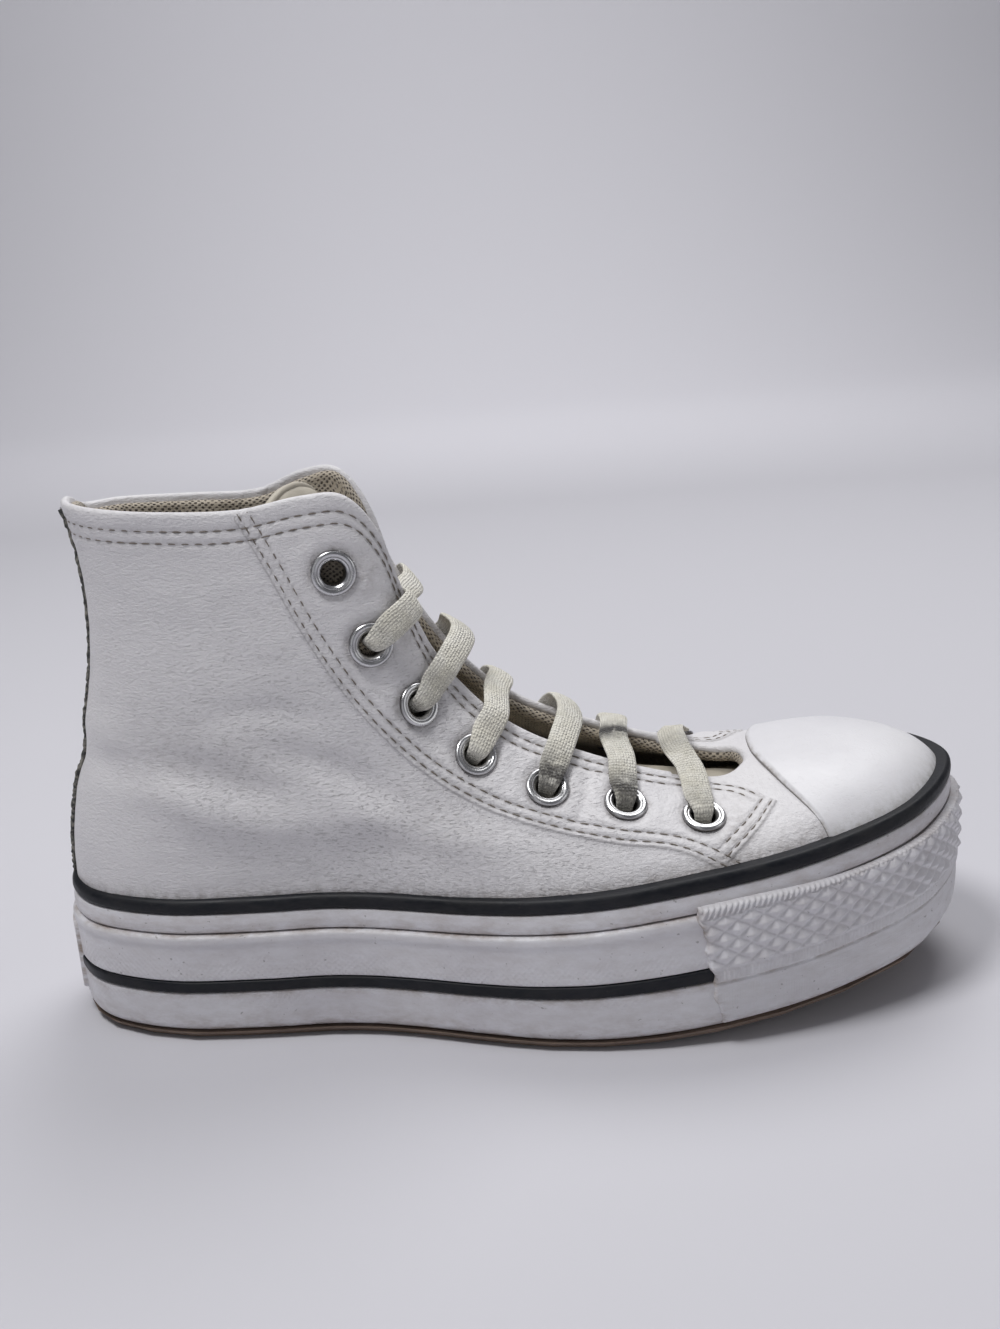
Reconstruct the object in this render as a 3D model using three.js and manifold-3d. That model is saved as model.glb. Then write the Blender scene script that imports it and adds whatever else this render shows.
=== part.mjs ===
// A worn high-top sneaker for the right foot, on a thick platform sole. Millimetres, +X to the toe, +Y to the
// inner (medial) side, +Z up. Lengths along the shoe start at the heel and are called s.
import * as THREE from 'three';
import Module from 'manifold-3d';

const wasm = await Module();
wasm.setup();

// Driving dimensions
const heelX = -129.2; // where s = 0 lies in the part's frame
const middleY = 4.7; // moves the sole's box to the middle of the frame
const gap = 0.3; // clearance between neighbours
const around = 70; // columns round the upper and the sole
const up = 9; // rows from the sole to the top line
const plainAround = 48; // columns round the outsole and the insole

const treadHeight = 2.4; // outsole, lugs included
const treadInset = 3.4; // the tread's lower edge, behind the ledge's outline
const lugHeight = 1.2;
const lugRim = 8;
const groovePitch = 12;
const grooveWidth = 3;
const grooveFrom = 16;
const grooveTo = 250;
const platformLedge = 33.4; // top of the platform at the heel
const ledgeRise = 4.2; // how much thicker the platform is under the ball
const springHeight = 13; // how far the toe lifts
const springFrom = 145;
const footInset = 2.6; // the platform's lower edge
const footRound = 2; // height of its rounding
const wallInset = 0.6; // the platform's wall at the lower stripe
const lipHeight = 3; // rounded lip under the ledge
const lowerStripeLow = 15.4;
const lowerStripeHigh = 19.1;
const stripeDepth = 1.2;
const foxingHeight = 5.7;
const upperStripeHeight = 4;
const foxingInset = 1.1; // the upper band stands this far behind the ledge
const featherInset = 3.8; // the upper's lower edge, behind the ledge
const bumperThickness = 1.3;
const bumperFrom = 178;
const bumperFoot = 1.5; // its lower edge over the platform's
const bumperDrop = 3.6; // its upper edge under the top of the band
const heelPlateHalf = 12;
const heelPlateLow = 7;
const heelPlateThickness = 0.9;

const wall = 2.2; // leather and lining
const topMiddle = -2.5; // middle line of collar and throat
const innerSlack = 3.2; // how far the inner side of the collar has sunk
const innerLean = 5; // how far its front corner leans back
const insoleHeight = 3.2;
const insoleSlack = 1.2; // between the insole and the upper
const capFrom = 203;
const capThickness = 1.1;

const eyeletOuter = 6.1; // radius of the pressed flange
const eyeletBarrel = 3.7;
const eyeletBore = 3.1;
const eyeletHole = 4.2; // punched in the leather
const eyeletSeat = 0.6; // underside of the flange over the leather
const eyeletFlange = 0.8;
const eyeletSides = 8;
const laceHalfWidth = 4;
const laceHalfThick = 0.7;

// Stations from the heel to the toe. sole: s, outer and inner half width at the ledge. top: s, half width and
// height of the collar, then of the throat. shape: rise and flare of a rib where it leaves the sole, drop and
// reach where it comes up to the top line.
const stations = [
  { sole: [-2, 0, 0], top: [13, 0, 152], shape: [34, 8, 51, -15] },
  { sole: [1, 13, 13.5], top: [15.5, 10, 152], shape: [34, 7, 51, -11] },
  { sole: [11, 24.3, 25], top: [25, 18.5, 151.5], shape: [34, 5, 50, -6] },
  { sole: [32, 32.8, 32.5], top: [43, 23.5, 150.5], shape: [34, 3, 46, -1] },
  { sole: [56, 34.9, 33.5], top: [63, 25, 150], shape: [34, 2, 42, 2] },
  { sole: [74, 35.4, 32.3], top: [81, 24, 152.5], shape: [34, 2, 42, 4] },
  { sole: [86, 37, 31.7], top: [92, 22, 151.5], shape: [34, 2, 42, 5] },
  { sole: [95, 39.2, 31.8], top: [99.5, 19.5, 141.5], shape: [32, 2, 38, 7] },
  { sole: [105, 42.3, 32.6], top: [104.5, 17, 124], shape: [30, 2, 31, 9] },
  { sole: [118, 46.8, 34.5], top: [113.5, 15, 102.5], shape: [26, 2, 22, 11] },
  { sole: [136, 52, 38.2], top: [130, 15, 84], shape: [19, 2, 13, 13] },
  { sole: [160, 54.8, 42.7], top: [152, 15.5, 73], shape: [18, 1.5, 8, 14] },
  { sole: [186, 53.5, 44.8], top: [174, 15.5, 66], shape: [17, 1, 6, 14] },
  { sole: [216, 46.3, 43], top: [190, 12.5, 63], shape: [19, 1, 4, 15] },
  { sole: [245, 30, 31], top: [197.5, 7, 64.3], shape: [21, 0.5, 0, 19] },
  { sole: [260, 0, 0], top: [199.5, 0, 64.3], shape: [22, 0, -2, 26] },
];

// Eyelets seen from the side: s and height. The lowest six pairs hold the lace.
const eyelets = [[87.5, 133.2], [95.5, 113], [106.5, 94.5], [121, 79], [140, 69], [161, 63.5], [182, 59.3]];

// Lace bars from the second pair down: s and height of the crest, and clearance where a bar crosses the throat edge
const laceBars = [[105.5, 121.5, 3.8], [118.5, 109, 4], [129, 92, 3.5], [148, 83, 4], [161, 75.5, 3.5], [178, 71, 3.5]];

// The tongue from its root under the vamp to its top: s, height, half width, arch, skew of the top edge
const tongueRows = [
  [204, 58.1, 15, 1.5, 0],
  [186, 59.1, 16, 2.5, 0],
  [162, 61.9, 17, 3.5, 0],
  [140, 67, 18, 4, 0],
  [122, 79, 18, 4, 0],
  [109, 96, 17.7, 4, 0.02],
  [100, 114, 17.9, 3, 0.08],
  [90, 133, 18.3, 1.5, 0.2],
  [79, 148, 19, 0.5, 0.35],
  [74.5, 155, 18, 0.5, 0.4],
];
const tongueThickness = 3;
const tongueMiddle = -2.5;

const white = new THREE.Color('#d9d9d8');
const navy = new THREE.Color('#1d2129');
const brown = new THREE.Color('#6f6157');
const cream = new THREE.Color('#cfccbd');
const steel = new THREE.Color('#b9bbbd');
const beige = new THREE.Color('#a89f90');

function v3(x, y, z) {
  return new THREE.Vector3(x, y, z);
}

function smooth(from, to, value) {
  return THREE.MathUtils.smoothstep(value, from, to);
}

// Heights along the shoe
function springAt(s) {
  const share = Math.max(0, (s - springFrom) / (stations.at(-1).sole[0] - springFrom));
  return springHeight * share ** 1.5;
}

function ledgeAt(s) {
  return platformLedge + ledgeRise * smooth(100, 185, s) + springAt(s);
}

function foxingTopAt(s) {
  return ledgeAt(s) + gap + foxingHeight;
}

function stripeTopAt(s) {
  return foxingTopAt(s) + gap + upperStripeHeight;
}

function platformFootAt(s) {
  return springAt(s) + treadHeight + gap;
}

// A height of the platform's wall, given at the heel and stretched with the wall where the sole thickens
function wallHeight(height) {
  const share = (height - treadHeight - gap) / (platformLedge - treadHeight - gap);
  return (s) => platformFootAt(s) + (ledgeAt(s) - platformFootAt(s)) * share;
}

// A closed smooth curve through one point a station: outer side to the toe, inner side back to the heel
function ring(pick) {
  const points = stations.map((row) => pick(row, -1));
  for (let i = stations.length - 2; i > 0; i--) {
    points.push(pick(stations[i], 1));
  }
  return new THREE.CatmullRomCurve3(points, true, 'catmullrom', 0.5);
}

const stationTurn = 2 * stations.length - 2;
const soleRing = ring((row, side) => v3(row.sole[0], side < 0 ? -row.sole[1] : row.sole[2], 0));
const topRing = ring((row, side) => {
  const [s, half, height] = row.top;
  const slack = side > 0 ? innerSlack * (1 - smooth(60, 95, s)) : 0;
  const lean = side > 0 ? innerLean * smooth(60, 85, s) * (1 - smooth(100, 118, s)) : 0;
  return v3(s - lean, topMiddle + side * (half - slack / 2), height - slack);
});
const lowShape = ring((row) => v3(row.shape[0], row.shape[1], 0));
const highShape = ring((row) => v3(row.shape[2], row.shape[3], 0));

function wrap(t) {
  return t - Math.floor(t);
}

function outward(t) {
  const step = 0.002;
  const ahead = soleRing.getPoint(wrap(t + step)).sub(soleRing.getPoint(wrap(t - step)));
  return v3(ahead.y, -ahead.x, 0).normalize();
}

// A point of the sole's outline, grown outward by grow, at a height worked out from s
function edgePoint(t, grow, heightAt) {
  const point = soleRing.getPoint(wrap(t)).addScaledVector(outward(t), grow);
  point.z = heightAt(point.x);
  return point;
}

// The upper's outer surface: t runs round the shoe from the heel, v from the sole to the top line
function upperAt(t, v) {
  const turn = wrap(t);
  const out = outward(turn);
  const low = lowShape.getPoint(turn);
  const high = highShape.getPoint(turn);
  const foot = edgePoint(turn, -featherInset, (s) => ledgeAt(s) + gap);
  const top = topRing.getPoint(turn);
  const handleLow = foot.clone().addScaledVector(out, low.y).add(v3(0, 0, low.x));
  const handleHigh = top.clone().addScaledVector(out, high.y).add(v3(0, 0, -high.x));
  return new THREE.CubicBezierCurve3(foot, handleLow, handleHigh, top).getPoint(v);
}

function upperNormal(t, v) {
  const step = 0.004;
  const low = Math.max(0, v - step);
  const high = Math.min(1, v + step);
  const along = upperAt(t + step, v).sub(upperAt(t - step, v));
  const rise = upperAt(t, high).sub(upperAt(t, low));
  return along.cross(rise).normalize();
}

function upperOffset(t, v, distance) {
  return upperAt(t, v).addScaledVector(upperNormal(t, v), distance);
}

// The share v where the upper reaches a height
function shareAtHeight(t, height) {
  let low = 0;
  let high = 0.6;
  for (let i = 0; i < 24; i++) {
    const middle = (low + high) / 2;
    if (upperAt(t, middle).z < height) {
      low = middle;
    } else {
      high = middle;
    }
  }
  return low;
}

// A point just outside the upper at a height that depends on s
function besideUpper(t, heightAt, distance) {
  const height = heightAt(edgePoint(t, -featherInset, () => 0).x);
  const point = upperAt(t, shareAtHeight(t, height)).addScaledVector(outward(t), distance);
  point.z = heightAt(point.x);
  return point;
}

// Joins cross sections of equal length into one closed surface
function loft(sections, closed) {
  const count = sections[0].length;
  const position = sections.flat().flatMap((point) => [point.x, point.y, point.z]);
  const index = [];
  const last = closed ? sections.length : sections.length - 1;
  for (let i = 0; i < last; i++) {
    const here = i * count;
    const next = ((i + 1) % sections.length) * count;
    for (let j = 0; j < count; j++) {
      const k = (j + 1) % count;
      index.push(here + j, next + j, next + k, here + j, next + k, here + k);
    }
  }
  if (!closed) {
    index.push(...ladder(0, count, true), ...ladder((sections.length - 1) * count, count, false));
  }
  return outwardGeometry(position, index);
}

// Closes the end of a loft with triangles between its two long sides
function ladder(first, count, flip) {
  const index = [];
  let low = 1;
  let high = count - 1;
  let tip = 0;
  while (low < high) {
    index.push(flip ? [tip, low, high] : [tip, high, low]);
    tip = low;
    low += 1;
    if (low < high) {
      index.push(flip ? [tip, low, high] : [tip, high, low]);
      tip = high;
      high -= 1;
    }
  }
  return index.flat().map((i) => first + i);
}

function outwardGeometry(position, index) {
  let volume = 0;
  const corner = (i) => v3(position[3 * i], position[3 * i + 1], position[3 * i + 2]);
  for (let i = 0; i < index.length; i += 3) {
    volume += corner(index[i]).dot(corner(index[i + 1]).cross(corner(index[i + 2])));
  }
  const faces = volume < 0 ? index.slice().reverse() : index;
  const geometry = new THREE.BufferGeometry();
  geometry.setAttribute('position', new THREE.Float32BufferAttribute(position, 3));
  geometry.setIndex(faces);
  return geometry;
}

function toSolid(geometry) {
  const mesh = new wasm.Mesh({
    numProp: 3,
    vertProperties: new Float32Array(geometry.getAttribute('position').array),
    triVerts: new Uint32Array(geometry.getIndex().array),
  });
  return new wasm.Manifold(mesh);
}

function fromSolid(solid) {
  const mesh = solid.getMesh();
  return outwardGeometry(Array.from(mesh.vertProperties), Array.from(mesh.triVerts));
}

// A plain three.js shape as a solid
function shapeSolid(shape) {
  const seen = new Map();
  const source = shape.getAttribute('position');
  const position = [];
  const index = [];
  const order = shape.getIndex();
  const total = order ? order.count : source.count;
  for (let i = 0; i < total; i++) {
    const k = order ? order.getX(i) : i;
    const point = [source.getX(k), source.getY(k), source.getZ(k)];
    const key = point.map((value) => Math.round(value * 10000)).join(' ');
    if (!seen.has(key)) {
      seen.set(key, seen.size);
      position.push(...point);
    }
    index.push(seen.get(key));
  }
  const kept = [];
  for (let i = 0; i < index.length; i += 3) {
    const [a, b, c] = index.slice(i, i + 3);
    if (a !== b && b !== c && c !== a) {
      kept.push(a, b, c);
    }
  }
  return toSolid(outwardGeometry(position, kept));
}

function turns(from, to, count) {
  return Array.from({ length: count + 1 }, (_, i) => from + ((to - from) * i) / count);
}

const wholeRound = turns(0, 1, around).slice(0, around);
const plainRound = turns(0, 1, plainAround).slice(0, plainAround);

// A solid over the whole outline, from a list of [grow, heightAt] upwards
function solePlate(levels, columns = wholeRound) {
  return loft(levels.map(([grow, heightAt]) => columns.map((t) => edgePoint(t, grow, heightAt))), false);
}

function frameOf(point, normal) {
  return new THREE.Matrix4().lookAt(normal, v3(0, 0, 0), v3(0, 0, 1)).setPosition(point);
}

// Outsole: a thin plate with a rim and cross bars under heel and forefoot
function outsoleGeometry() {
  const lowAt = (s) => springAt(s) + lugHeight - 0.1;
  const highAt = (s) => springAt(s) + treadHeight;
  const plate = toSolid(solePlate([[1 - treadInset, lowAt], [2.2 - treadInset, highAt]], plainRound));
  const lugTop = (s) => springAt(s) + lugHeight;
  const lugs = toSolid(solePlate([[-treadInset, springAt], [0.4 - treadInset, lugTop]], plainRound));
  const under = (s) => springAt(s) - 1;
  const inside = toSolid(solePlate([[-lugRim, under], [-lugRim, highAt]], plainRound));
  let tread = lugs;
  for (let s = grooveFrom; s < grooveTo; s += groovePitch) {
    const box = new THREE.BoxGeometry(grooveWidth, 120, 40);
    box.rotateZ(0.12 * Math.sin(s)); // the bars fan a little
    box.translate(s, 0, 0);
    tread = tread.subtract(shapeSolid(box).intersect(inside));
  }
  return fromSolid(plate.add(tread));
}

// Platform: rounded lower edge, a groove for the lower stripe, a lip at the ledge
function platformGeometry() {
  return solePlate([
    [-footInset, platformFootAt],
    [footRound - 0.4 - footInset, (s) => platformFootAt(s) + footRound],
    [-wallInset, wallHeight(lowerStripeLow)],
    [-wallInset - stripeDepth, wallHeight(lowerStripeLow)],
    [-wallInset - stripeDepth, wallHeight(lowerStripeHigh)],
    [-wallInset, wallHeight(lowerStripeHigh)],
    [-wallInset / 3, wallHeight(platformLedge - lipHeight)],
    [0, wallHeight(platformLedge - lipHeight / 3)],
    [-0.9, wallHeight(platformLedge)],
  ]);
}

function lowerStripeGeometry() {
  const low = wallHeight(lowerStripeLow + gap);
  const high = wallHeight(lowerStripeHigh - gap);
  const inner = gap - wallInset - stripeDepth;
  const outer = 0.2 - wallInset; // stands 0.2 mm proud of the wall
  const corners = [[inner, low], [outer, low], [outer, high], [inner, high]];
  return loft(wholeRound.map((t) => corners.map(([grow, heightAt]) => edgePoint(t, grow, heightAt))), true);
}

// A band that hugs the upper, between two heights
function huggingBand(lowAt, highAt, grow) {
  return loft(
    wholeRound.map((t) => [
      besideUpper(t, lowAt, 2 * gap),
      edgePoint(t, grow, lowAt),
      edgePoint(t, grow, highAt),
      besideUpper(t, highAt, 2 * gap),
    ]),
    true,
  );
}

function foxingGeometry() {
  return huggingBand((s) => ledgeAt(s) + gap, foxingTopAt, -foxingInset);
}

function upperStripeGeometry() {
  return huggingBand((s) => foxingTopAt(s) + gap, stripeTopAt, -foxingInset);
}

// Columns of the outline whose edge lies ahead of a length s
function columnsAhead(s, count) {
  const ahead = turns(0, 1, 400).filter((t) => edgePoint(t, 0, () => 0).x > s);
  return turns(ahead[0], ahead.at(-1), count);
}

function bumperGeometry() {
  const low = (s) => platformFootAt(s) + bumperFoot;
  const bend = (s) => platformFootAt(s) + footInset * 2;
  const high = (s) => foxingTopAt(s) - bumperDrop;
  const inner = gap;
  const outer = gap + bumperThickness;
  const corners = [
    [inner - wallInset, low], [outer - wallInset, low], [outer, bend], [outer, high], [inner, high], [inner, bend],
  ];
  return loft(
    columnsAhead(bumperFrom, 30).map((t) => corners.map(([grow, heightAt]) => edgePoint(t, grow, heightAt))),
    false,
  );
}

function heelPlateGeometry() {
  const half = heelPlateHalf / (stations[1].sole[1] * stationTurn);
  const low = () => heelPlateLow;
  const high = () => platformLedge - lipHeight;
  const outer = gap + heelPlateThickness;
  const corners = [[gap - 0.1, low], [outer, low], [outer, high], [gap, high]];
  return loft(turns(-half, half, 8).map((t) => corners.map(([grow, at]) => edgePoint(t, grow, at))), false);
}

function insoleGeometry() {
  const grow = -featherInset - wall - insoleSlack;
  const low = (s) => ledgeAt(s) + gap;
  return solePlate([[grow, low], [grow, (s) => low(s) + insoleHeight]], plainRound);
}

// Where an eyelet sits on the upper: the t and v whose side view is nearest to its s and height
function eyeletPlace([s, height], side) {
  const best = { t: 0, v: 0, miss: Infinity };
  const tries = (list, share) => {
    for (const t of list) {
      for (const v of share) {
        const point = upperAt(t, v);
        const miss = Math.hypot(point.x - s, point.z - height);
        if (miss < best.miss) {
          Object.assign(best, { t, v, miss });
        }
      }
    }
  };
  const from = side < 0 ? 0.17 : 0.57;
  tries(turns(from, from + 0.26, 52), turns(0.4, 0.98, 30));
  for (let span = 0.01; span > 0.0003; span /= 2) {
    tries(turns(best.t - span / 2, best.t + span / 2, 8), turns(best.v - span * 2, best.v + span * 2, 8));
  }
  const point = upperAt(best.t, best.v);
  return { point, normal: upperNormal(best.t, best.v) };
}

const eyeletPlaces = eyelets.map((spot) => [eyeletPlace(spot, -1), eyeletPlace(spot, 1)]);

function upperGeometry() {
  const shares = turns(0, 1, up);
  const sections = wholeRound.map((t) => [
    ...shares.map((v) => upperAt(t, v)),
    ...shares.toReversed().map((v) => upperOffset(t, v, -wall)),
  ]);
  let shell = toSolid(loft(sections, true));
  for (const { point, normal } of eyeletPlaces.flat()) {
    const drill = new THREE.CylinderGeometry(eyeletHole, eyeletHole, 9, eyeletSides);
    drill.rotateX(Math.PI / 2);
    drill.applyMatrix4(frameOf(point, normal));
    shell = shell.subtract(shapeSolid(drill));
  }
  return fromSolid(shell);
}

// Toe cap: a shell over the upper's own surface, cut off behind
function toeCapGeometry() {
  const columns = columnsAhead(capFrom - 12, 20);
  const sections = columns.map((t) => {
    const edge = edgePoint(t, -featherInset, () => 0);
    const from = shareAtHeight(t, stripeTopAt(edge.x) + 2 * gap);
    const shares = turns(from, 0.97, 6);
    return [
      ...shares.map((v) => upperOffset(t, v, gap + capThickness)),
      ...shares.toReversed().map((v) => upperOffset(t, v, gap)),
    ];
  });
  const ahead = new THREE.BoxGeometry(100, 140, 100);
  ahead.translate(capFrom + 50, 0, 60);
  return fromSolid(toSolid(loft(sections, false)).intersect(shapeSolid(ahead)));
}

// Tongue: a thin arched strip along its rows
function tongueGeometry() {
  const path = new THREE.CatmullRomCurve3(tongueRows.map(([s, z]) => v3(s, 0, z)), false, 'catmullrom', 0.5);
  const form = new THREE.CatmullRomCurve3(tongueRows.map(([, , w, a, k]) => v3(w, a, k)), false, 'catmullrom', 0.5);
  const across = turns(-1, 1, 6);
  const sections = turns(0, 1, 20).map((t) => {
    const middle = path.getPoint(t);
    const tangent = path.getTangent(t);
    const normal = v3(-tangent.z, 0, tangent.x).multiplyScalar(-1);
    const { x: half, y: arch, z: skew } = form.getPoint(t);
    const point = (u, depth) =>
      middle
        .clone()
        .add(v3(skew * half * u, tongueMiddle + half * u, 0))
        .addScaledVector(normal, -arch * u * u - depth);
    return [...across.map((u) => point(u, 0)), ...across.toReversed().map((u) => point(u, tongueThickness))];
  });
  return loft(sections, false);
}

function eyeletGeometry() {
  const back = -wall - 1;
  const top = eyeletSeat + eyeletFlange;
  const outline = [
    [eyeletBore, back], [eyeletBarrel, back], [eyeletBarrel, eyeletSeat], [eyeletOuter, eyeletSeat],
    [eyeletOuter, top], [eyeletBore, top],
  ];
  const points = [...outline, outline[0]].map(([radius, height]) => new THREE.Vector2(radius, height));
  const geometry = new THREE.LatheGeometry(points, eyeletSides, 0.2);
  geometry.rotateX(Math.PI / 2);
  return fromSolid(shapeSolid(geometry));
}

// The throat edge where a line from an eyelet to a bar's crest crosses it
function throatEdge(from, crest, side) {
  const list = side < 0 ? turns(0.2, 0.5, 90) : turns(0.5, 0.8, 90);
  const away = (point) => {
    const run = [crest[0] - from.x, crest[1] - from.z];
    const reach = [point.x - from.x, point.z - from.z];
    const length = Math.hypot(...run);
    const beside = Math.abs(run[0] * reach[1] - run[1] * reach[0]) / length;
    const ahead = (run[0] * reach[0] + run[1] * reach[1]) / length;
    return beside + (ahead < 0 ? 100 : 0);
  };
  const nearest = list.reduce((best, t) => (away(topRing.getPoint(t)) < away(topRing.getPoint(best)) ? t : best));
  return { point: topRing.getPoint(nearest), normal: upperNormal(nearest, 0.97) };
}

// A lace bar from above one eyelet, over the throat, to above its partner
function laceBarGeometry(row) {
  const ends = eyeletPlaces[row];
  const [crestS, crestZ, clearance] = laceBars[row - 1];
  const lift = 1.5 * gap + eyeletSeat + eyeletFlange + laceHalfThick;
  const [outer, inner] = ends.map(({ point, normal }) => point.clone().addScaledVector(normal, lift));
  const edges = ends.map(({ point }, side) => throatEdge(point, [crestS, crestZ], side === 0 ? -1 : 1));
  const [outerEdge, innerEdge] = edges.map(({ point, normal }) => point.clone().addScaledVector(normal, clearance));
  const crest = v3(crestS, topMiddle, crestZ);
  const [outerCrest, innerCrest] = [-1, 1].map((side) => crest.clone().add(v3(0, side * laceHalfWidth * 1.6, 0)));
  const [outerFlat, innerFlat] = [[outer, outerEdge, ends[0].normal], [inner, innerEdge, ends[1].normal]].map(
    ([point, edge, normal]) => {
      const run = edge.clone().sub(point);
      run.addScaledVector(normal, -run.dot(normal)).setLength(eyeletOuter);
      return point.clone().add(run);
    },
  );
  const stops = [outer, outerFlat, outerEdge, outerCrest, innerCrest, innerEdge, innerFlat, inner];
  const path = new THREE.CatmullRomCurve3(stops, false, 'centripetal');
  const upright = crest.clone().sub(outer.clone().add(inner).multiplyScalar(0.5)).normalize();
  const faces = new THREE.CatmullRomCurve3(
    [0, 0, 0, 1, 1, 2, 2, 2].map((i) => [ends[0].normal, upright, ends[1].normal][i]),
    false,
    'catmullrom',
  );
  const sections = turns(0, 1, 12).map((t) => {
    const point = path.getPoint(t);
    const tangent = path.getTangent(t);
    const face = faces.getPoint(t);
    face.addScaledVector(tangent, -face.dot(tangent)).normalize();
    const wide = tangent.clone().cross(face).multiplyScalar(laceHalfWidth);
    const thick = face.clone().multiplyScalar(laceHalfThick);
    const corner = (a, b) => point.clone().addScaledVector(wide, a).addScaledVector(thick, b);
    return [corner(-1, -1), corner(1, -1), corner(1, 1), corner(-1, 1)];
  });
  return loft(sections, false);
}

const shoe = new THREE.Group();
const assembly = new THREE.Group();
assembly.position.set(heelX, middleY, 0);
shoe.add(assembly);

function addPart(name, geometry, color, roughness, metalness = 0) {
  geometry.computeVertexNormals();
  const mesh = new THREE.Mesh(geometry, new THREE.MeshStandardMaterial({ color, roughness, metalness }));
  mesh.name = name;
  assembly.add(mesh);
  return mesh;
}

addPart('outsole', outsoleGeometry(), brown, 0.8);
addPart('platform', platformGeometry(), white, 0.6);
addPart('lower_stripe', lowerStripeGeometry(), navy, 0.6);
addPart('foxing', foxingGeometry(), white, 0.6);
addPart('upper_stripe', upperStripeGeometry(), navy, 0.6);
addPart('toe_bumper', bumperGeometry(), white, 0.65);
addPart('heel_plate', heelPlateGeometry(), white, 0.6);
addPart('insole', insoleGeometry(), beige, 0.9);
addPart('upper', upperGeometry(), white, 0.55);
addPart('toe_cap', toeCapGeometry(), white, 0.5);
addPart('tongue', tongueGeometry(), cream, 0.7);

eyeletPlaces.forEach((pair, row) => {
  pair.forEach(({ point, normal }, side) => {
    const mesh = addPart(`eyelet_${side === 0 ? 'outer' : 'inner'}_${row + 1}`, eyeletGeometry(), steel, 0.3, 1);
    frameOf(point, normal).decompose(mesh.position, mesh.quaternion, mesh.scale);
  });
});

for (let row = 1; row < eyelets.length; row++) {
  addPart(`lace_bar_${row + 1}`, laceBarGeometry(row), cream, 0.9);
}

export default shoe;
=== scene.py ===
# A worn high-top sneaker for the right foot, white leather on a thick striped platform sole.
# Sizes are millimetres in the shoe's own coordinates: s along it from the heel, y to the inner side, z up.
import bpy
import math
import re
import numpy as np
from functools import partial, reduce
from mathutils import Matrix, Vector, kdtree, noise


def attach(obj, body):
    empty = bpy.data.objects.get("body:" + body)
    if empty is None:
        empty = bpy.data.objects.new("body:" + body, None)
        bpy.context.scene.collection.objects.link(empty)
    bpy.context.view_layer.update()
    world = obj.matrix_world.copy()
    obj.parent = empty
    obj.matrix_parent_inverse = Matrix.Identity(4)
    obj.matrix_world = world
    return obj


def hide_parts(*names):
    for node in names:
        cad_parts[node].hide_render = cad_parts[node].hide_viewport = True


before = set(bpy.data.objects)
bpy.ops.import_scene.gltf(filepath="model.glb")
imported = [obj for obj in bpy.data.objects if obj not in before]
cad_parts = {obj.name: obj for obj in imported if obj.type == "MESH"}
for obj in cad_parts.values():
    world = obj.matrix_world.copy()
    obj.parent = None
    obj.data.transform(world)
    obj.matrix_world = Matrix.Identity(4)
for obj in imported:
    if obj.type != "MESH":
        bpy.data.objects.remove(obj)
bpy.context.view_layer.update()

mm = 0.001
heelX = -129.2  # where s = 0 lies in the frame
middleY = 4.7
rng = np.random.default_rng(7)

# Camera, at the photo's place and tilt, aimed so that the whole shoe is in view
camera = {
    "at": (130.2, -420, 229.6),
    "target": (129.5, 0, 96),
    "roll": -4.05,
    "lens": 1535 / 1000,  # focal length over the picture's width
    "sensor": 36,
}


def toFrame(points):
    return (np.asarray(points, float) + [heelX, middleY, 0]) * mm


def addCamera():
    data = bpy.data.cameras.new("photoCamera")
    data.sensor_fit = "HORIZONTAL"
    data.sensor_width = camera["sensor"]
    data.lens = camera["lens"] * camera["sensor"]
    obj = bpy.data.objects.new("photoCamera", data)
    bpy.context.scene.collection.objects.link(obj)
    at = Vector(toFrame(camera["at"]))
    forward = (Vector(toFrame(camera["target"])) - at).normalized()
    level = forward.cross(Vector((0, 0, 1))).normalized()
    rise = level.cross(forward)
    roll = math.radians(camera["roll"])
    right = level * math.cos(roll) + rise * math.sin(roll)
    top = rise * math.cos(roll) - level * math.sin(roll)
    obj.matrix_world = Matrix.Translation(at) @ Matrix((right, top, -forward)).transposed().to_4x4()
    bpy.context.scene.camera = obj


# The sole's outline and the upper, as in the frame. A row holds s, outer and inner half width at the ledge;
# s, half width and height of the top line; rise and flare at the sole, drop and reach at the top.
stations = [
    (-2, 0, 0, 13, 0, 152, 34, 8, 51, -15),
    (1, 13, 13.5, 15.5, 10, 152, 34, 7, 51, -11),
    (11, 24.3, 25, 25, 18.5, 151.5, 34, 5, 50, -6),
    (32, 32.8, 32.5, 43, 23.5, 150.5, 34, 3, 46, -1),
    (56, 34.9, 33.5, 63, 25, 150, 34, 2, 42, 2),
    (74, 35.4, 32.3, 81, 24, 152.5, 34, 2, 42, 4),
    (86, 37, 31.7, 92, 22, 151.5, 34, 2, 42, 5),
    (95, 39.2, 31.8, 99.5, 19.5, 141.5, 32, 2, 38, 7),
    (105, 42.3, 32.6, 104.5, 17, 124, 30, 2, 31, 9),
    (118, 46.8, 34.5, 113.5, 15, 102.5, 26, 2, 22, 11),
    (136, 52, 38.2, 130, 15, 84, 19, 2, 13, 13),
    (160, 54.8, 42.7, 152, 15.5, 73, 18, 1.5, 8, 14),
    (186, 53.5, 44.8, 174, 15.5, 66, 17, 1, 6, 14),
    (216, 46.3, 43, 190, 12.5, 63, 19, 1, 4, 15),
    (245, 30, 31, 197.5, 7, 64.3, 21, 0.5, 0, 19),
    (260, 0, 0, 199.5, 0, 64.3, 22, 0, -2, 26),
]
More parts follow.
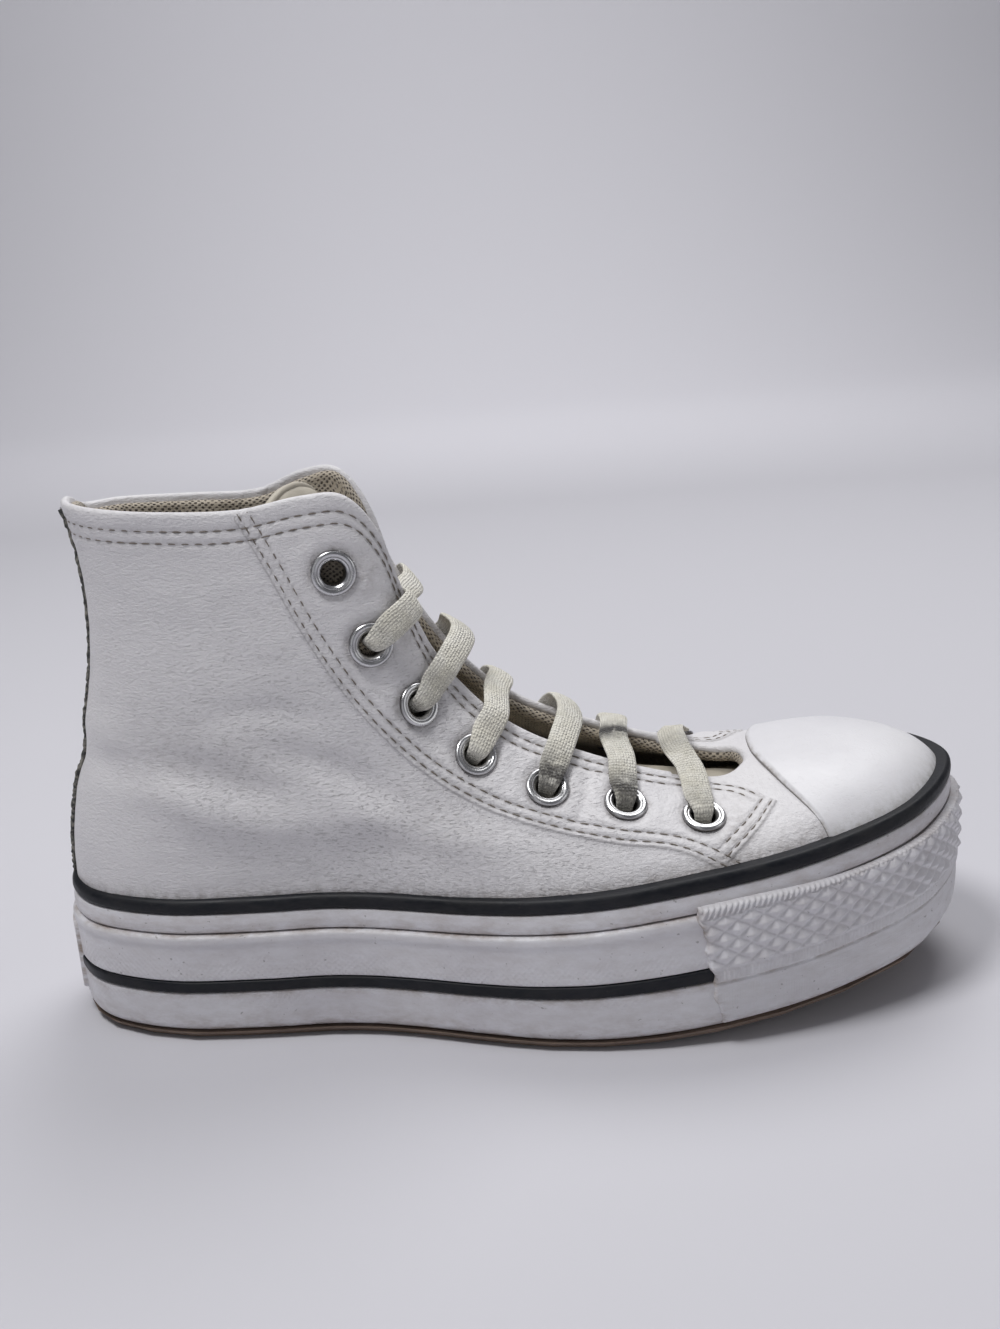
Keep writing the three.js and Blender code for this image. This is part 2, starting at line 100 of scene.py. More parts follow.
form = {
    "gap": 0.3,  # between two parts
    "tread": 2.4,
    "ledge": 33.4,  # the platform's top
    "ledgeRise": 4.2,
    "spring": 13,  # the sole's rise at the toe
    "springFrom": 145,
    "length": 260,
    "foxing": 5.7,
    "stripe": 4,
    "feather": 3.8,  # the upper's foot, in from the sole's edge
    "topMiddle": -2.5,
    "innerSlack": 3.2,
    "innerLean": 5,
}


def smooth(low, high, value):
    share = np.clip((np.asarray(value, float) - low) / (high - low), 0, 1)
    return share * share * (3 - 2 * share)


def bell(away, width, power=2):  # 1 in the middle, falling off over the width
    return np.exp(-(np.abs(away / width) ** power))


def fade(away, width):  # 1 up to 0, then falling off
    return np.exp(-np.clip(away, 0, None) / width)


def wave(along, pitch):  # 0 to 1 and back over the pitch
    return 0.5 + 0.5 * np.sin(2 * math.pi * along / pitch)


def most(*amounts):  # the strongest of several
    return reduce(np.maximum, amounts)


def springAt(s):
    share = (s - form["springFrom"]) / (form["length"] - form["springFrom"])
    return form["spring"] * np.clip(share, 0, None) ** 1.5


def ledgeAt(s):
    return form["ledge"] + form["ledgeRise"] * smooth(100, 185, s) + springAt(s)


def foxingTopAt(s):
    return ledgeAt(s) + form["gap"] + form["foxing"]


def stripeTopAt(s):
    return foxingTopAt(s) + form["gap"] + form["stripe"]


def wallHeight(height):
    low = form["tread"] + form["gap"]
    share = (height - low) / (form["ledge"] - low)
    return lambda s: springAt(s) + low + (ledgeAt(s) - springAt(s) - low) * share


def ring(pick):
    return np.array([pick(row, -1) for row in stations] + [pick(row, 1) for row in stations[-2:0:-1]], float)


def topPoint(row, side):
    s, half, height = row[3:6]
    slack = form["innerSlack"] * (1 - smooth(60, 95, s)) if side > 0 else 0
    lean = form["innerLean"] * smooth(60, 85, s) * (1 - smooth(100, 118, s)) if side > 0 else 0
    return (s - lean, form["topMiddle"] + side * (half - slack / 2), height - slack)


soleRing = ring(lambda row, side: (row[0], -row[1] if side < 0 else row[2], 0))
topRing = ring(topPoint)
lowRing = ring(lambda row, side: (row[6], row[7], 0))
highRing = ring(lambda row, side: (row[8], row[9], 0))


def between(before, here, ahead, after, w):  # a smooth curve through four points, from here to ahead
    leave, arrive = (ahead - before) / 2, (after - here) / 2
    bend = 3 * (ahead - here) - 2 * leave - arrive
    return here + leave * w + bend * w**2 + (2 * (here - ahead) + leave + arrive) * w**3


def ringAt(points, t):  # a closed smooth curve through the points, t in turns
    place = (np.asarray(t, float) % 1) * len(points)
    first = np.floor(place).astype(int)
    return between(*(points[(first + k) % len(points)] for k in (-1, 0, 1, 2)), (place - first)[..., None])


def circle(count):  # angles once round
    return np.linspace(0, 2 * math.pi, count + 1)[:-1]


def unit(vectors):
    return vectors / np.maximum(np.linalg.norm(vectors, axis=-1, keepdims=True), 1e-9)


def outward(t):
    run = ringAt(soleRing, t + 0.002) - ringAt(soleRing, t - 0.002)
    return unit(np.stack([run[..., 1], -run[..., 0], np.zeros_like(run[..., 0])], -1))


def edgePoint(t, grow, height):  # on the sole's outline, grown outward; height is a number or a function of s
    grow = np.asarray(grow, float)
    point = ringAt(soleRing, t) + outward(t) * grow[..., None]
    point[..., 2] = height(point[..., 0]) if callable(height) else height
    return point


def upperAt(t, v):
    t, v = np.broadcast_arrays(np.asarray(t, float), np.asarray(v, float))
    out = outward(t)
    low, high = ringAt(lowRing, t), ringAt(highRing, t)
    foot = edgePoint(t, -form["feather"] + 0 * t, lambda s: ledgeAt(s) + form["gap"])
    top = ringAt(topRing, t)
    up = np.array([0, 0, 1.0])
    lowHandle = foot + out * low[..., 1:2] + up * low[..., :1]
    highHandle = top + out * high[..., 1:2] - up * high[..., :1]
    w = v[..., None]
    return (1 - w) ** 3 * foot + 3 * w * (1 - w) ** 2 * lowHandle + 3 * w * w * (1 - w) * highHandle + w**3 * top


def upperNormal(t, v):
    t, v = np.broadcast_arrays(np.asarray(t, float), np.asarray(v, float))
    low, high = np.clip(v - 0.004, 0, 1), np.clip(v + 0.004, 0, 1)
    along = upperAt(t + 0.003, v) - upperAt(t - 0.003, v)
    return unit(np.cross(along, upperAt(t, high) - upperAt(t, low)))


def evenTurns(first, last, count):  # columns at even steps along the outline
    fine = np.linspace(first, last, 3000)
    run = runOf(ringAt(soleRing, fine))
    return np.interp(np.linspace(0, run[-1], count), run, fine)


def runOf(points):  # length along a row of points
    return np.concatenate([[0], np.cumsum(np.linalg.norm(np.diff(points, axis=0), axis=1))])


def treeOf(points):  # to find the nearest of many points
    tree = kdtree.KDTree(len(points))
    for number, point in enumerate(points):
        tree.insert(point, number)
    tree.balance()
    return tree


# The upper as a grid of points, to find where a place near it lies on it, as t and v
gridT, gridV = np.meshgrid(np.linspace(0, 1, 361)[:-1], np.linspace(0.02, 1, 60), indexing="ij")
gridTree = treeOf(upperAt(gridT, gridV).reshape(-1, 3))


def findOnUpper(points):
    points = np.asarray(points, float).reshape(-1, 3)
    near = [gridTree.find(point)[1] for point in points]
    t, v = gridT.ravel()[near], gridV.ravel()[near]
    for turn in range(5):
        miss = points - upperAt(t, v)
        alongT = (upperAt(t + 0.001, v) - upperAt(t - 0.001, v)) / 0.002
        alongV = (upperAt(t, v + 0.005) - upperAt(t, v - 0.005)) / 0.01
        a, b, c = (alongT**2).sum(1), (alongT * alongV).sum(1), (alongV**2).sum(1)
        p, q = (miss * alongT).sum(1), (miss * alongV).sum(1)
        det = np.maximum(a * c - b * b, 1e-6)
        t = t + np.clip((c * p - b * q) / det, -0.01, 0.01)
        v = np.clip(v + np.clip((a * q - b * p) / det, -0.05, 0.05), 0, 1.02)
    return t, v


def otherSide(points):  # the same places on the inner side
    points = np.array(points, float)
    points[:, 1] = 2 * form["topMiddle"] - points[:, 1]
    return points


def curveThrough(points, step):  # a smooth open curve with a point every step
    points = np.array(points, float)
    fine = []
    padded = np.vstack([2 * points[0] - points[1], points, 2 * points[-1] - points[-2]])
    for i in range(1, len(padded) - 2):
        fine.append(between(*padded[i - 1:i + 3], np.linspace(0, 1, 24, endpoint=False)[:, None]))
    fine = np.vstack(fine + [points[-1:]])
    run = runOf(fine)
    count = max(2, int(round(run[-1] / step)) + 1)
    ask = np.linspace(0, run[-1], count)
    return np.stack([np.interp(ask, run, fine[:, k]) for k in range(points.shape[1])], 1)


# Meshes from grids of points
def keepPiece(obj, nodes):
    bpy.context.scene.collection.objects.link(obj)
    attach(obj, "root")
    if nodes:
        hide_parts(*nodes)
    return obj


def meshPiece(name, points, faces, material, nodes=(), slot="leather", values=None, flatMm=None):
    mesh = bpy.data.meshes.new(name)
    mesh.from_pydata(toFrame(points).tolist(), [], np.asarray(faces).tolist())
    mesh.polygons.foreach_set("use_smooth", np.ones(len(mesh.polygons), bool))
    for key, value in (values or {}).items():
        mesh.attributes.new(key, "FLOAT", "POINT").data.foreach_set("value", np.ravel(value).astype(np.float32))
    if flatMm is not None:
        mesh.attributes.new("flatMm", "FLOAT_VECTOR", "POINT").data.foreach_set("vector", np.ravel(flatMm))
    mesh.materials.append(material)
    mesh.update()
    return keepPiece(bpy.data.objects.new(name, mesh), nodes)


def gridFaces(columns, rows, closeColumns=False, closeRows=False):
    last = (columns - (not closeColumns), rows - (not closeRows))
    i, j = np.meshgrid(np.arange(last[0]), np.arange(last[1]), indexing="ij")
    a, b = i * rows + j, ((i + 1) % columns) * rows + j
    c, d = ((i + 1) % columns) * rows + (j + 1) % rows, i * rows + (j + 1) % rows
    return np.stack([a, b, c, d], -1).reshape(-1, 4)


def gridPiece(name, grid, material, closeColumns=False, closeRows=False, keep=None, flip=False, **more):
    faces = gridFaces(*grid.shape[:2], closeColumns, closeRows)
    if keep is not None:
        faces = faces[np.ravel(keep)[faces].any(1)]
    if flip:
        faces = faces[:, ::-1]
    if "flatMm" in more:
        flat = more["flatMm"]
        more["flatMm"] = np.concatenate([flat, np.zeros_like(flat[..., :1])], -1)
    return meshPiece(name, grid.reshape(-1, 3), faces, material, **more)


def joined(parts):  # several grids of points and faces as one
    points, faces, count = [], [], 0
    for grid, part in parts:
        points.append(grid.reshape(-1, 3))
        faces.append(part + count)
        count += len(points[-1])
    return np.vstack(points), np.vstack(faces)


def hexColor(code):
    parts = [int(code[i:i + 2], 16) / 255 for i in (1, 3, 5)]
    return tuple(p / 12.92 if p < 0.04045 else ((p + 0.055) / 1.055) ** 2.4 for p in parts) + (1,)


def addNode(tree, kind, *first, out=None, ramp=(), **more):
    # first go to the sockets in order, more to sockets or settings by name: fromMin is the socket From Min
    node = tree.nodes.new("ShaderNode" + kind)
    for key, value in [*more.items(), *enumerate(first)]:
        title = re.sub("([A-Z])", r" \1", str(key)).title().replace("Ior", "IOR")
        sockets = [socket for socket in node.inputs if socket.enabled and socket.name == title]
        socket = node.inputs[key] if isinstance(key, int) else sockets[0] if sockets else None
        if socket is None:
            setattr(node, key, value)
        elif isinstance(value, bpy.types.NodeSocket):
            tree.links.new(value, socket)
        else:
            socket.default_value = hexColor(value) if isinstance(value, str) else value
    for element, (position, code) in zip(node.color_ramp.elements if ramp else (), ramp):
        element.position, element.color = position, hexColor(code)
    shown = [socket for socket in node.outputs if socket.enabled]
    return node.outputs[out] if out else shown[0] if shown else None


def newMaterial(name):
    material = bpy.data.materials.new(name)
    material.use_nodes = True
    material.node_tree.nodes.clear()
    return material, partial(addNode, material.node_tree)


print("form")

# Coated leather, white and worn: a broad soft shine, broken by a fine sideways grain and short creases
def makeLeather(name, look):
    material, add = newMaterial(name)
    place = add("TexCoord", out="Object")
    sideways = add("Mapping", scale=(1, 1, 2.1), vector=place)
    keys = ("seam", "edge", "darkening", "crease")
    seam, edge, darkening, crease = (add("Attribute", attribute_name=key, out="Fac") for key in keys)

    tone = add("TexNoise", scale=28, detail=4, roughness=0.6, vector=place)
    base = add("ValToRGB", ramp=((0.3, look["shade"]), (0.68, look["white"])), fac=tone)
    speck = add("TexNoise", scale=420, detail=5, roughness=0.7, vector=place)
    speck = add("MapRange", fromMin=0.36, fromMax=0.68, value=speck)
    darkPatches = add("Math", darkening, speck, operation="MULTIPLY")
    color = add("Mix", data_type="RGBA", factor=darkPatches, a=base, b=look["darkening"])

    # short fine creases lie along the shoe, more where it bends, their lines darkened with painted shade; real ones
    # are 0.2 mm wide and are drawn at 0.4 mm
    long = add("Mapping", scale=(1, 1, 3.6), vector=place)
    cells = add("TexNoise", scale=look["creaseScale"], detail=3, roughness=0.6, vector=long)
    lines = add("MapRange", fromMin=0.57, fromMax=0.68, value=cells)
    lines = add("Math", lines, crease, operation="MULTIPLY")
    lineTone = add("Math", lines, 0.17, operation="MULTIPLY")
    color = add("Mix", data_type="RGBA", factor=lineTone, a=color, b=look["paintedShade"])

    # stitched rows sit in a groove, and an overlay's edge keeps a thin dark line; both are darkened with painted
    # shade
    groove = add("MapRange", fromMin=0.1, fromMax=0.6, toMin=1, toMax=0, value=seam)
    rim = add("Math", edge, operation="ABSOLUTE")
    rim = add("MapRange", fromMin=0.05, fromMax=0.4, toMin=1, toMax=0, value=rim)
    for line, share in ((rim, look["edgeShade"]), (groove, 0.22)):
        tone = add("Math", line, share, operation="MULTIPLY")
        color = add("Mix", data_type="RGBA", factor=tone, a=color, b=look["paintedShade"])

    # the real grain is about 0.4 mm and would vanish at this size, so it is drawn about twice as coarse
    grain = add("TexNoise", scale=look["grainScale"], detail=3, roughness=0.65, vector=sideways)
    bump = add("Bump", strength=look["grain"], distance=0.0006, height=grain)
    for line, strength, distance in ((lines, 0.7, 0.0005), (groove, 0.5, 0.0004)):
        line = add("Math", line, -1, operation="MULTIPLY")
        bump = add("Bump", strength=strength, distance=distance, height=line, normal=bump)
    gloss = add("TexNoise", scale=300, detail=2, vector=sideways)
    gloss = add("MapRange", toMin=look["roughness"] - 0.08, toMax=look["roughness"] + 0.1, value=gloss)
    add("OutputMaterial", add("BsdfPrincipled", baseColor=color, normal=bump, roughness=gloss))
    return material


leather = makeLeather("wornWhiteLeather", {
    "white": "#e5e3e5", "shade": "#dbd9dc", "darkening": "#8d8581", "paintedShade": "#77716f", "creaseScale": 640,
    "grainScale": 680, "grain": 0.8, "roughness": 0.44, "edgeShade": 0.35,
})
# The toe cap's leather has a thicker coat: smoother and shinier, with a dark line at its raw edge: the edge's own
# grey with painted shade on its face
capLeather = makeLeather("smoothToeLeather", {
    "white": "#e6e5e8", "shade": "#dedde1", "darkening": "#8f887c", "paintedShade": "#77716f", "creaseScale": 640,
    "grainScale": 1300, "grain": 0.18, "roughness": 0.36, "edgeShade": 0.9,
})


# Stitched rows and panel edges, as points on the outer side; the inner side repeats them
seams = {
    "pitch": 3.6,
    "quarter": [
        (64, -27, 151), (71, -28.3, 136.5), (80.6, -29.6, 115.5), (91.4, -30.7, 97), (106, -32.5, 80),
        (122.2, -34.9, 68.3), (138, -37.8, 62), (157.4, -41.8, 57.6), (173, -43.5, 55.3), (186, -47.5, 50.1),
        (190, -49, 47),
    ],
    "betweenRows": 2.7,
    "overlap": 1.3,  # an overlay runs on past its stitches
    "cross": [(199.5, -28, 60.8), (193.8, -36.3, 58.3), (189.1, -40.9, 56.2), (183.9, -45, 53.4)],
    "corner": [(186.4, -19.8, 62.6), (192.4, -20.9, 61.8), (196, -23.7, 61.5), (199, -28, 60.9)],
    "collarRows": (3.6, 6.9),  # below the edge round the ankle
    "throatRows": (2.1, 5),
    "rowsEnd": 0.402,  # where the rows leave the throat's edge, in turns
}


def rowAlongEdge(depths, first, last):  # a row that follows the top line at a depth under it
    t = np.linspace(first, last, 400)
    reach = np.linalg.norm(upperAt(t, 1.0) - upperAt(t, 0.97), axis=1) / 0.03
    depth = depths[0] + (depths[1] - depths[0]) * smooth(0.17, 0.26, np.abs(t))
    return t, 1 - depth / reach


def rowBeside(t, v, distance):  # the row beside a row, in the surface
    points = upperAt(t, v)
    run = unit(np.gradient(points, axis=0))
    aside = unit(np.cross(upperNormal(t, v), run))
    return findOnUpper(points + aside * distance)


def evenRow(t, v, step):  # the same row with points at even steps
    points = upperAt(t, v)
    run = runOf(points)
    ask = np.linspace(0, run[-1], max(2, int(round(run[-1] / step)) + 1))
    turn = np.unwrap(np.asarray(t) * 2 * np.pi) / (2 * np.pi)
    return np.interp(ask, run, turn), np.interp(ask, run, v)


def pointRow(points, step=1.5):
    return findOnUpper(curveThrough(points, step))


edgeRows = [
    rowAlongEdge((seams["collarRows"][row], seams["throatRows"][row]), -seams["rowsEnd"], seams["rowsEnd"])
    for row in (0, 1)
]
stitchRows = list(edgeRows)
panels = []
for side in (-1, 1):
    mirror = otherSide if side > 0 else np.array
    step, overlap = -side * seams["betweenRows"], -side * seams["overlap"]  # towards the throat
    quarter, cross = (pointRow(mirror(seams[row])) for row in ("quarter", "cross"))
    beside, crossBeside = rowBeside(*quarter, step), rowBeside(*cross, step)
    rowT, rowV = edgeRows[0]
    leaves = upperAt(rowT[-1 if side < 0 else 0], rowV[0])
    corner = pointRow(np.vstack([leaves, mirror(seams["corner"])]))
    cornerBeside = rowBeside(*corner, -step)
    stitchRows += [quarter, beside, cross, crossBeside, corner, cornerBeside]
    edges = ((quarter, -overlap), (crossBeside, overlap), (corner, overlap))
    panels.append([rowBeside(*row, distance) for row, distance in edges])


def panelOutline(panel):  # the eyestay's outline in t and v, once round
    lowEdge, frontEdge, cornerEdge = [np.stack([t % 1, v], 1) for t, v in panel]
    start, leave = lowEdge[0, 0], cornerEdge[0, 0]
    along = np.linspace(leave, start, 60)
    top = np.stack([along, np.full(60, 1.05)], 1)
    foot = np.array([[lowEdge[-1, 0], 0.0], [frontEdge[-1, 0], 0.0]])
    return np.vstack([lowEdge, foot, frontEdge[::-1], cornerEdge[::-1], top])


def insideOutline(outline, t, v):
    inside = np.zeros(t.shape, bool)
    for (t0, v0), (t1, v1) in zip(outline, np.roll(outline, -1, axis=0)):
        if v0 != v1:
            crosses = (v0 > v) != (v1 > v)
            inside ^= crosses & (t < t0 + (v - v0) * (t1 - t0) / (v1 - v0))
    return inside


def distances(tree, points):
    return np.array([tree.find(point)[2] for point in points.reshape(-1, 3)]).reshape(points.shape[:-1])


seamTree = treeOf(np.vstack([upperAt(*evenRow(t, v, 0.5)) for t, v in stitchRows]))
outlines = [panelOutline(panel) for panel in panels]
edgeTree = treeOf(np.vstack([upperAt(*evenRow(*row, 0.4)) for panel in panels for row in panel]))
print("seams", len(stitchRows))


# The upper's skin: folds, the eyestay's thickness, and where it is darker or creased; part of the darkening is
# painted shade. Places are s and z seen from the side, the angle is the fold's direction, and a negative depth is a
# ridge.
skin = {
    "eyestayLift": 0.75,
    "rimWidth": 2.6,
    "rimHeight": 1.5,
    "foldBend": 0.006,
    "grid": (590, 132),  # columns round the shoe, rows up the side
    "folds": [  # side, s, z, angle, length, half width, depth
        (-1, 38, 81, -10, 32, 6.5, 2.5),
        (-1, 60, 67, -12, 42, 7.5, -2.4),
        (-1, 84, 79, -28, 20, 4.5, 1.3),
        (-1, 104, 62, -18, 26, 5, -1.3),
        (-1, 66, 97, -4, 16, 4, 0.8),
        (-1, 112, 84, -38, 7, 2.4, 0.8),
        (-1, 97, 103, -30, 6, 2.2, 0.72),
        (-1, 150, 66, 62, 6, 2.6, 0.8),
        (1, 34, 84, -8, 30, 7, 2.61),
        (1, 62, 70, -14, 34, 7, -1.74),
        (1, 92, 74, -26, 20, 4.5, 1.45),
        (1, 128, 62, -60, 7, 2.8, 1.12),
        (1, 148, 60, -70, 7, 2.8, 1.12),
    ],
    "creased": [  # side, s, z, radius, amount
        (-1, 60, 88, 42, 0.75), (-1, 100, 64, 34, 0.9), (-1, 140, 60, 26, 0.7), (-1, 110, 90, 20, 0.8),
        (1, 70, 80, 46, 0.9), (1, 140, 60, 34, 0.9),
    ],
    "darkPatches": [  # side, s, z, radius, amount; the patches at s 38 and 56 on the outer side are painted shade in the ankle's trough
        (-1, 94.5, 131.5, 5, 0.5), (-1, 104, 113, 4, 0.45), (-1, 190, 54, 7, 0.5), (-1, 38, 86, 13, 0.22),
        (-1, 56, 82, 12, 0.2), (-1, 112, 66, 16, 0.2), (-1, 150, 56, 18, 0.16), (1, 120, 52, 16, 0.4),
        (1, 30, 60, 14, 0.35),
    ],
}


def onSide(points, side):
    return smooth(-6, 6, side * (points[..., 1] - form["topMiddle"]))


def spotsAt(points, spots):
    total = np.zeros(points.shape[:-1])
    for side, s, z, radius, amount in spots:
        away = np.hypot(points[..., 0] - s, points[..., 2] - z)
        total = np.maximum(total, amount * bell(away, radius) * onSide(points, side))
    return total


def foldsAt(points):
    total = np.zeros(points.shape[:-1])
    for side, s, z, angle, length, half, depth in skin["folds"]:
        turn = math.radians(angle)
        ds, dz = points[..., 0] - s, points[..., 2] - z
        along, across = ds * math.cos(turn) + dz * math.sin(turn), dz * math.cos(turn) - ds * math.sin(turn)
        across = across + skin["foldBend"] * along**2 * np.sign(depth)
        total -= depth * bell(across, half) * bell(along, length, 4) * onSide(points, side)
    return total


def noiseAt(points, size, stretch=(1, 1, 1), seed=0.0):
    flat = points.reshape(-1, 3) / size * stretch + seed
    return np.array([noise.noise(Vector(point)) for point in flat]).reshape(points.shape[:-1])


eyelets = {
    "places": [(87.5, 133.2), (95.5, 113), (106.5, 94.5), (121, 79), (140, 69), (161, 63.5), (182, 59.3)],
    "cut": 4.9,  # radius of the hole in the leather
}


def eyeletPlace(s, z, side):  # the t and v of the place that shows at s and z from the side
    half = {-1: (0.17, 0.43), 1: (0.57, 0.83)}[side]
    t, v = np.meshgrid(np.linspace(*half, 80), np.linspace(0.4, 0.98, 60), indexing="ij")
    for span in (0.02, 0.005, 0.001, 0.0003):
        points = upperAt(t, v)
        best = np.argmin((points[..., 0] - s) ** 2 + (points[..., 2] - z) ** 2)
        bestT, bestV = t.ravel()[best], v.ravel()[best]
        steps = np.linspace(-span, span, 21)
        t, v = np.meshgrid(bestT + steps / 2, bestV + steps * 2, indexing="ij")
    return bestT, bestV


eyeletSpots = []
for s, z in eyelets["places"]:
    for side in (-1, 1):
        t, v = eyeletPlace(s, z, side)
        eyeletSpots.append({"side": side, "point": upperAt(t, v), "normal": upperNormal(t, v)})
eyeletPoints = np.array([spot["point"] for spot in eyeletSpots])


def nearestEyelet(points, first=0):
    return np.min(np.linalg.norm(points[..., None, :] - eyeletPoints[first:], axis=-1), axis=-1)


def skinAt(t, v):  # the leather's face, with what its shader asks for
    t, v = np.broadcast_arrays(t, v)
    plain, normal = upperAt(t, v), upperNormal(t, v)
    seam, edge = distances(seamTree, plain), distances(edgeTree, plain)
    inside = np.zeros(t.shape, bool)
    for outline in outlines:
        inside |= insideOutline(outline, t % 1, np.clip(v, 0.001, 1))
    edge = np.where(inside, edge, -edge)
    ring = nearestEyelet(plain)
    lift = skin["eyestayLift"] * smooth(-0.4, 0.4, edge) + foldsAt(plain)
    lift = lift + 0.5 * noiseAt(plain, 34, seed=3.1) + 0.16 * noiseAt(plain, 9, (0.6, 1, 1.9), 7.7)
    lift = lift - 0.25 * bell(seam, 0.7) + 0.1 * bell(seam - 1.7, 1)
    lift = lift - 0.55 * bell(ring, 7.2, 4) + 0.25 * bell(ring - 9, 2)
    foot = upperAt(t, 0 * v)
    overStripe = plain[..., 2] - stripeTopAt(foot[..., 0])
    lift = lift * smooth(-4, 4, overStripe)
    # darker places: the patches, a band just over the stripe, a line along the stitched rows, and a ring just
    # outside each eyelet's flange, painted shade under the flange mixed with dirt
    darkening = most(
        spotsAt(plain, skin["darkPatches"]), 0.75 * bell(np.clip(overStripe, 0, None), 2.2, 1.2),
        0.55 * bell(ring - 6.3, 0.9), 0.35 * bell(seam, 0.8),
    )
    creased = np.maximum(spotsAt(plain, skin["creased"]), 0.15)
    values = {"seam": seam, "edge": edge, "darkening": darkening, "crease": creased}
    return plain + normal * lift[..., None], values


def buildUpper():
    columns, rows = skin["grid"]
    t = evenTurns(0, 1, columns + 1)[:-1]
    v = np.concatenate([np.linspace(0, 0.1, 5)[:-1], np.linspace(0.1, 1, rows)])
    face, values = skinAt(t[:, None], v[None, :])
    ring = nearestEyelet(upperAt(t[:, None], v[None, :]))
    # the edge rolls over the top and goes down inside
    top, under = face[:, -1], face[:, -2]
    rise = unit(top - under)
    out = upperNormal(t, np.ones_like(t))
    turn = np.linspace(0, math.pi, 9)[1:]
    half = skin["rimWidth"] / 2
    roll = [top + out * (half * (math.cos(a) - 1)) + rise * (skin["rimHeight"] * math.sin(a)) for a in turn]
    roll.append(roll[-1] - rise * 3)
    grid = np.concatenate([face, np.stack(roll, 1)], 1)
    extra = grid.shape[1] - face.shape[1]
    for key, fill in (("seam", 9.0), ("edge", -9.0), ("darkening", 0.12), ("crease", 0.1)):
        values[key] = np.concatenate([values[key], np.full((len(t), extra), fill)], 1)
    keep = np.concatenate([ring > eyelets["cut"], np.ones((len(t), extra), bool)], 1)
    gridPiece(
        "upperLeather", grid, leather, closeColumns=True, keep=keep, nodes=("upper",), slot="leather", values=values
    )


buildUpper()
print("upper")

# Stitches: one short thread each, dipping into the leather at both ends. Twisted cotton,
# grey-brown and without shine, so the rows read as dashes.
threadLook = {"color": "#6e665f", "light": "#8d857c", "radius": 0.2, "length": 0.88, "dip": 0.5}


def makeThread():
    material, add = newMaterial("stitchThread")
    place = add("TexCoord", out="Object")
    tone = add("TexNoise", scale=260, detail=2, vector=place)
    ramp = add("ValToRGB", ramp=((0, threadLook["color"]), (1, threadLook["light"])), fac=tone)
    twist = add("TexWave", scale=900, distortion=1, vector=place, out="Fac")
    bump = add("Bump", strength=0.5, distance=0.0002, height=twist)
    add("OutputMaterial", add("BsdfPrincipled", baseColor=ramp, normal=bump, roughness=0.85))
    return material


thread = makeThread()


def stitchParts(rows):
    parts = []
    around = circle(6)
    share = np.array([0, 0.12, 0.35, 0.65, 0.88, 1])
    size = np.array([0.35, 0.85, 1, 1, 0.85, 0.35])
    for t, v in rows:
        t, v = evenRow(t, v, seams["pitch"] / 6)
        for first in range(0, len(t) - 6, 6):
            ask = first + 3 + (share - 0.5) * 6 * threadLook["length"]
            tt, vv = np.interp(ask, np.arange(len(t)), t), np.interp(ask, np.arange(len(v)), v)
            center = skinAt(tt, vv)[0]
            normal = upperNormal(tt, vv)
            run = unit(np.gradient(center, axis=0))
            aside = np.cross(normal, run)
            depth = 0.1 - threadLook["dip"] * np.abs(2 * share - 1) ** 3
            center = center + normal * depth[:, None] + aside * (0.12 * np.sin(share * math.pi))[:, None]
            ring = threadLook["radius"] * size[:, None, None] * (
                aside[:, None] * np.cos(around)[None, :, None] + normal[:, None] * np.sin(around)[None, :, None]
            )
            parts.append((center[:, None] + ring, gridFaces(len(share), len(around), closeRows=True)))
    return parts


points, faces = joined(stitchParts(stitchRows))
meshPiece("upperStitches", points, faces, thread, slot="leather")
print("stitches", len(faces))

# Toe cap: a smooth shell over the front of the upper, its raw edge across the toe behind
cap = {"edgeS": 201, "lift": 1.15, "bend": 0.008, "slant": -0.06, "grid": (260, 70)}


def capEdgeAt(y):
    aside = y - form["topMiddle"]
    return cap["edgeS"] + cap["bend"] * aside**2 + cap["slant"] * aside


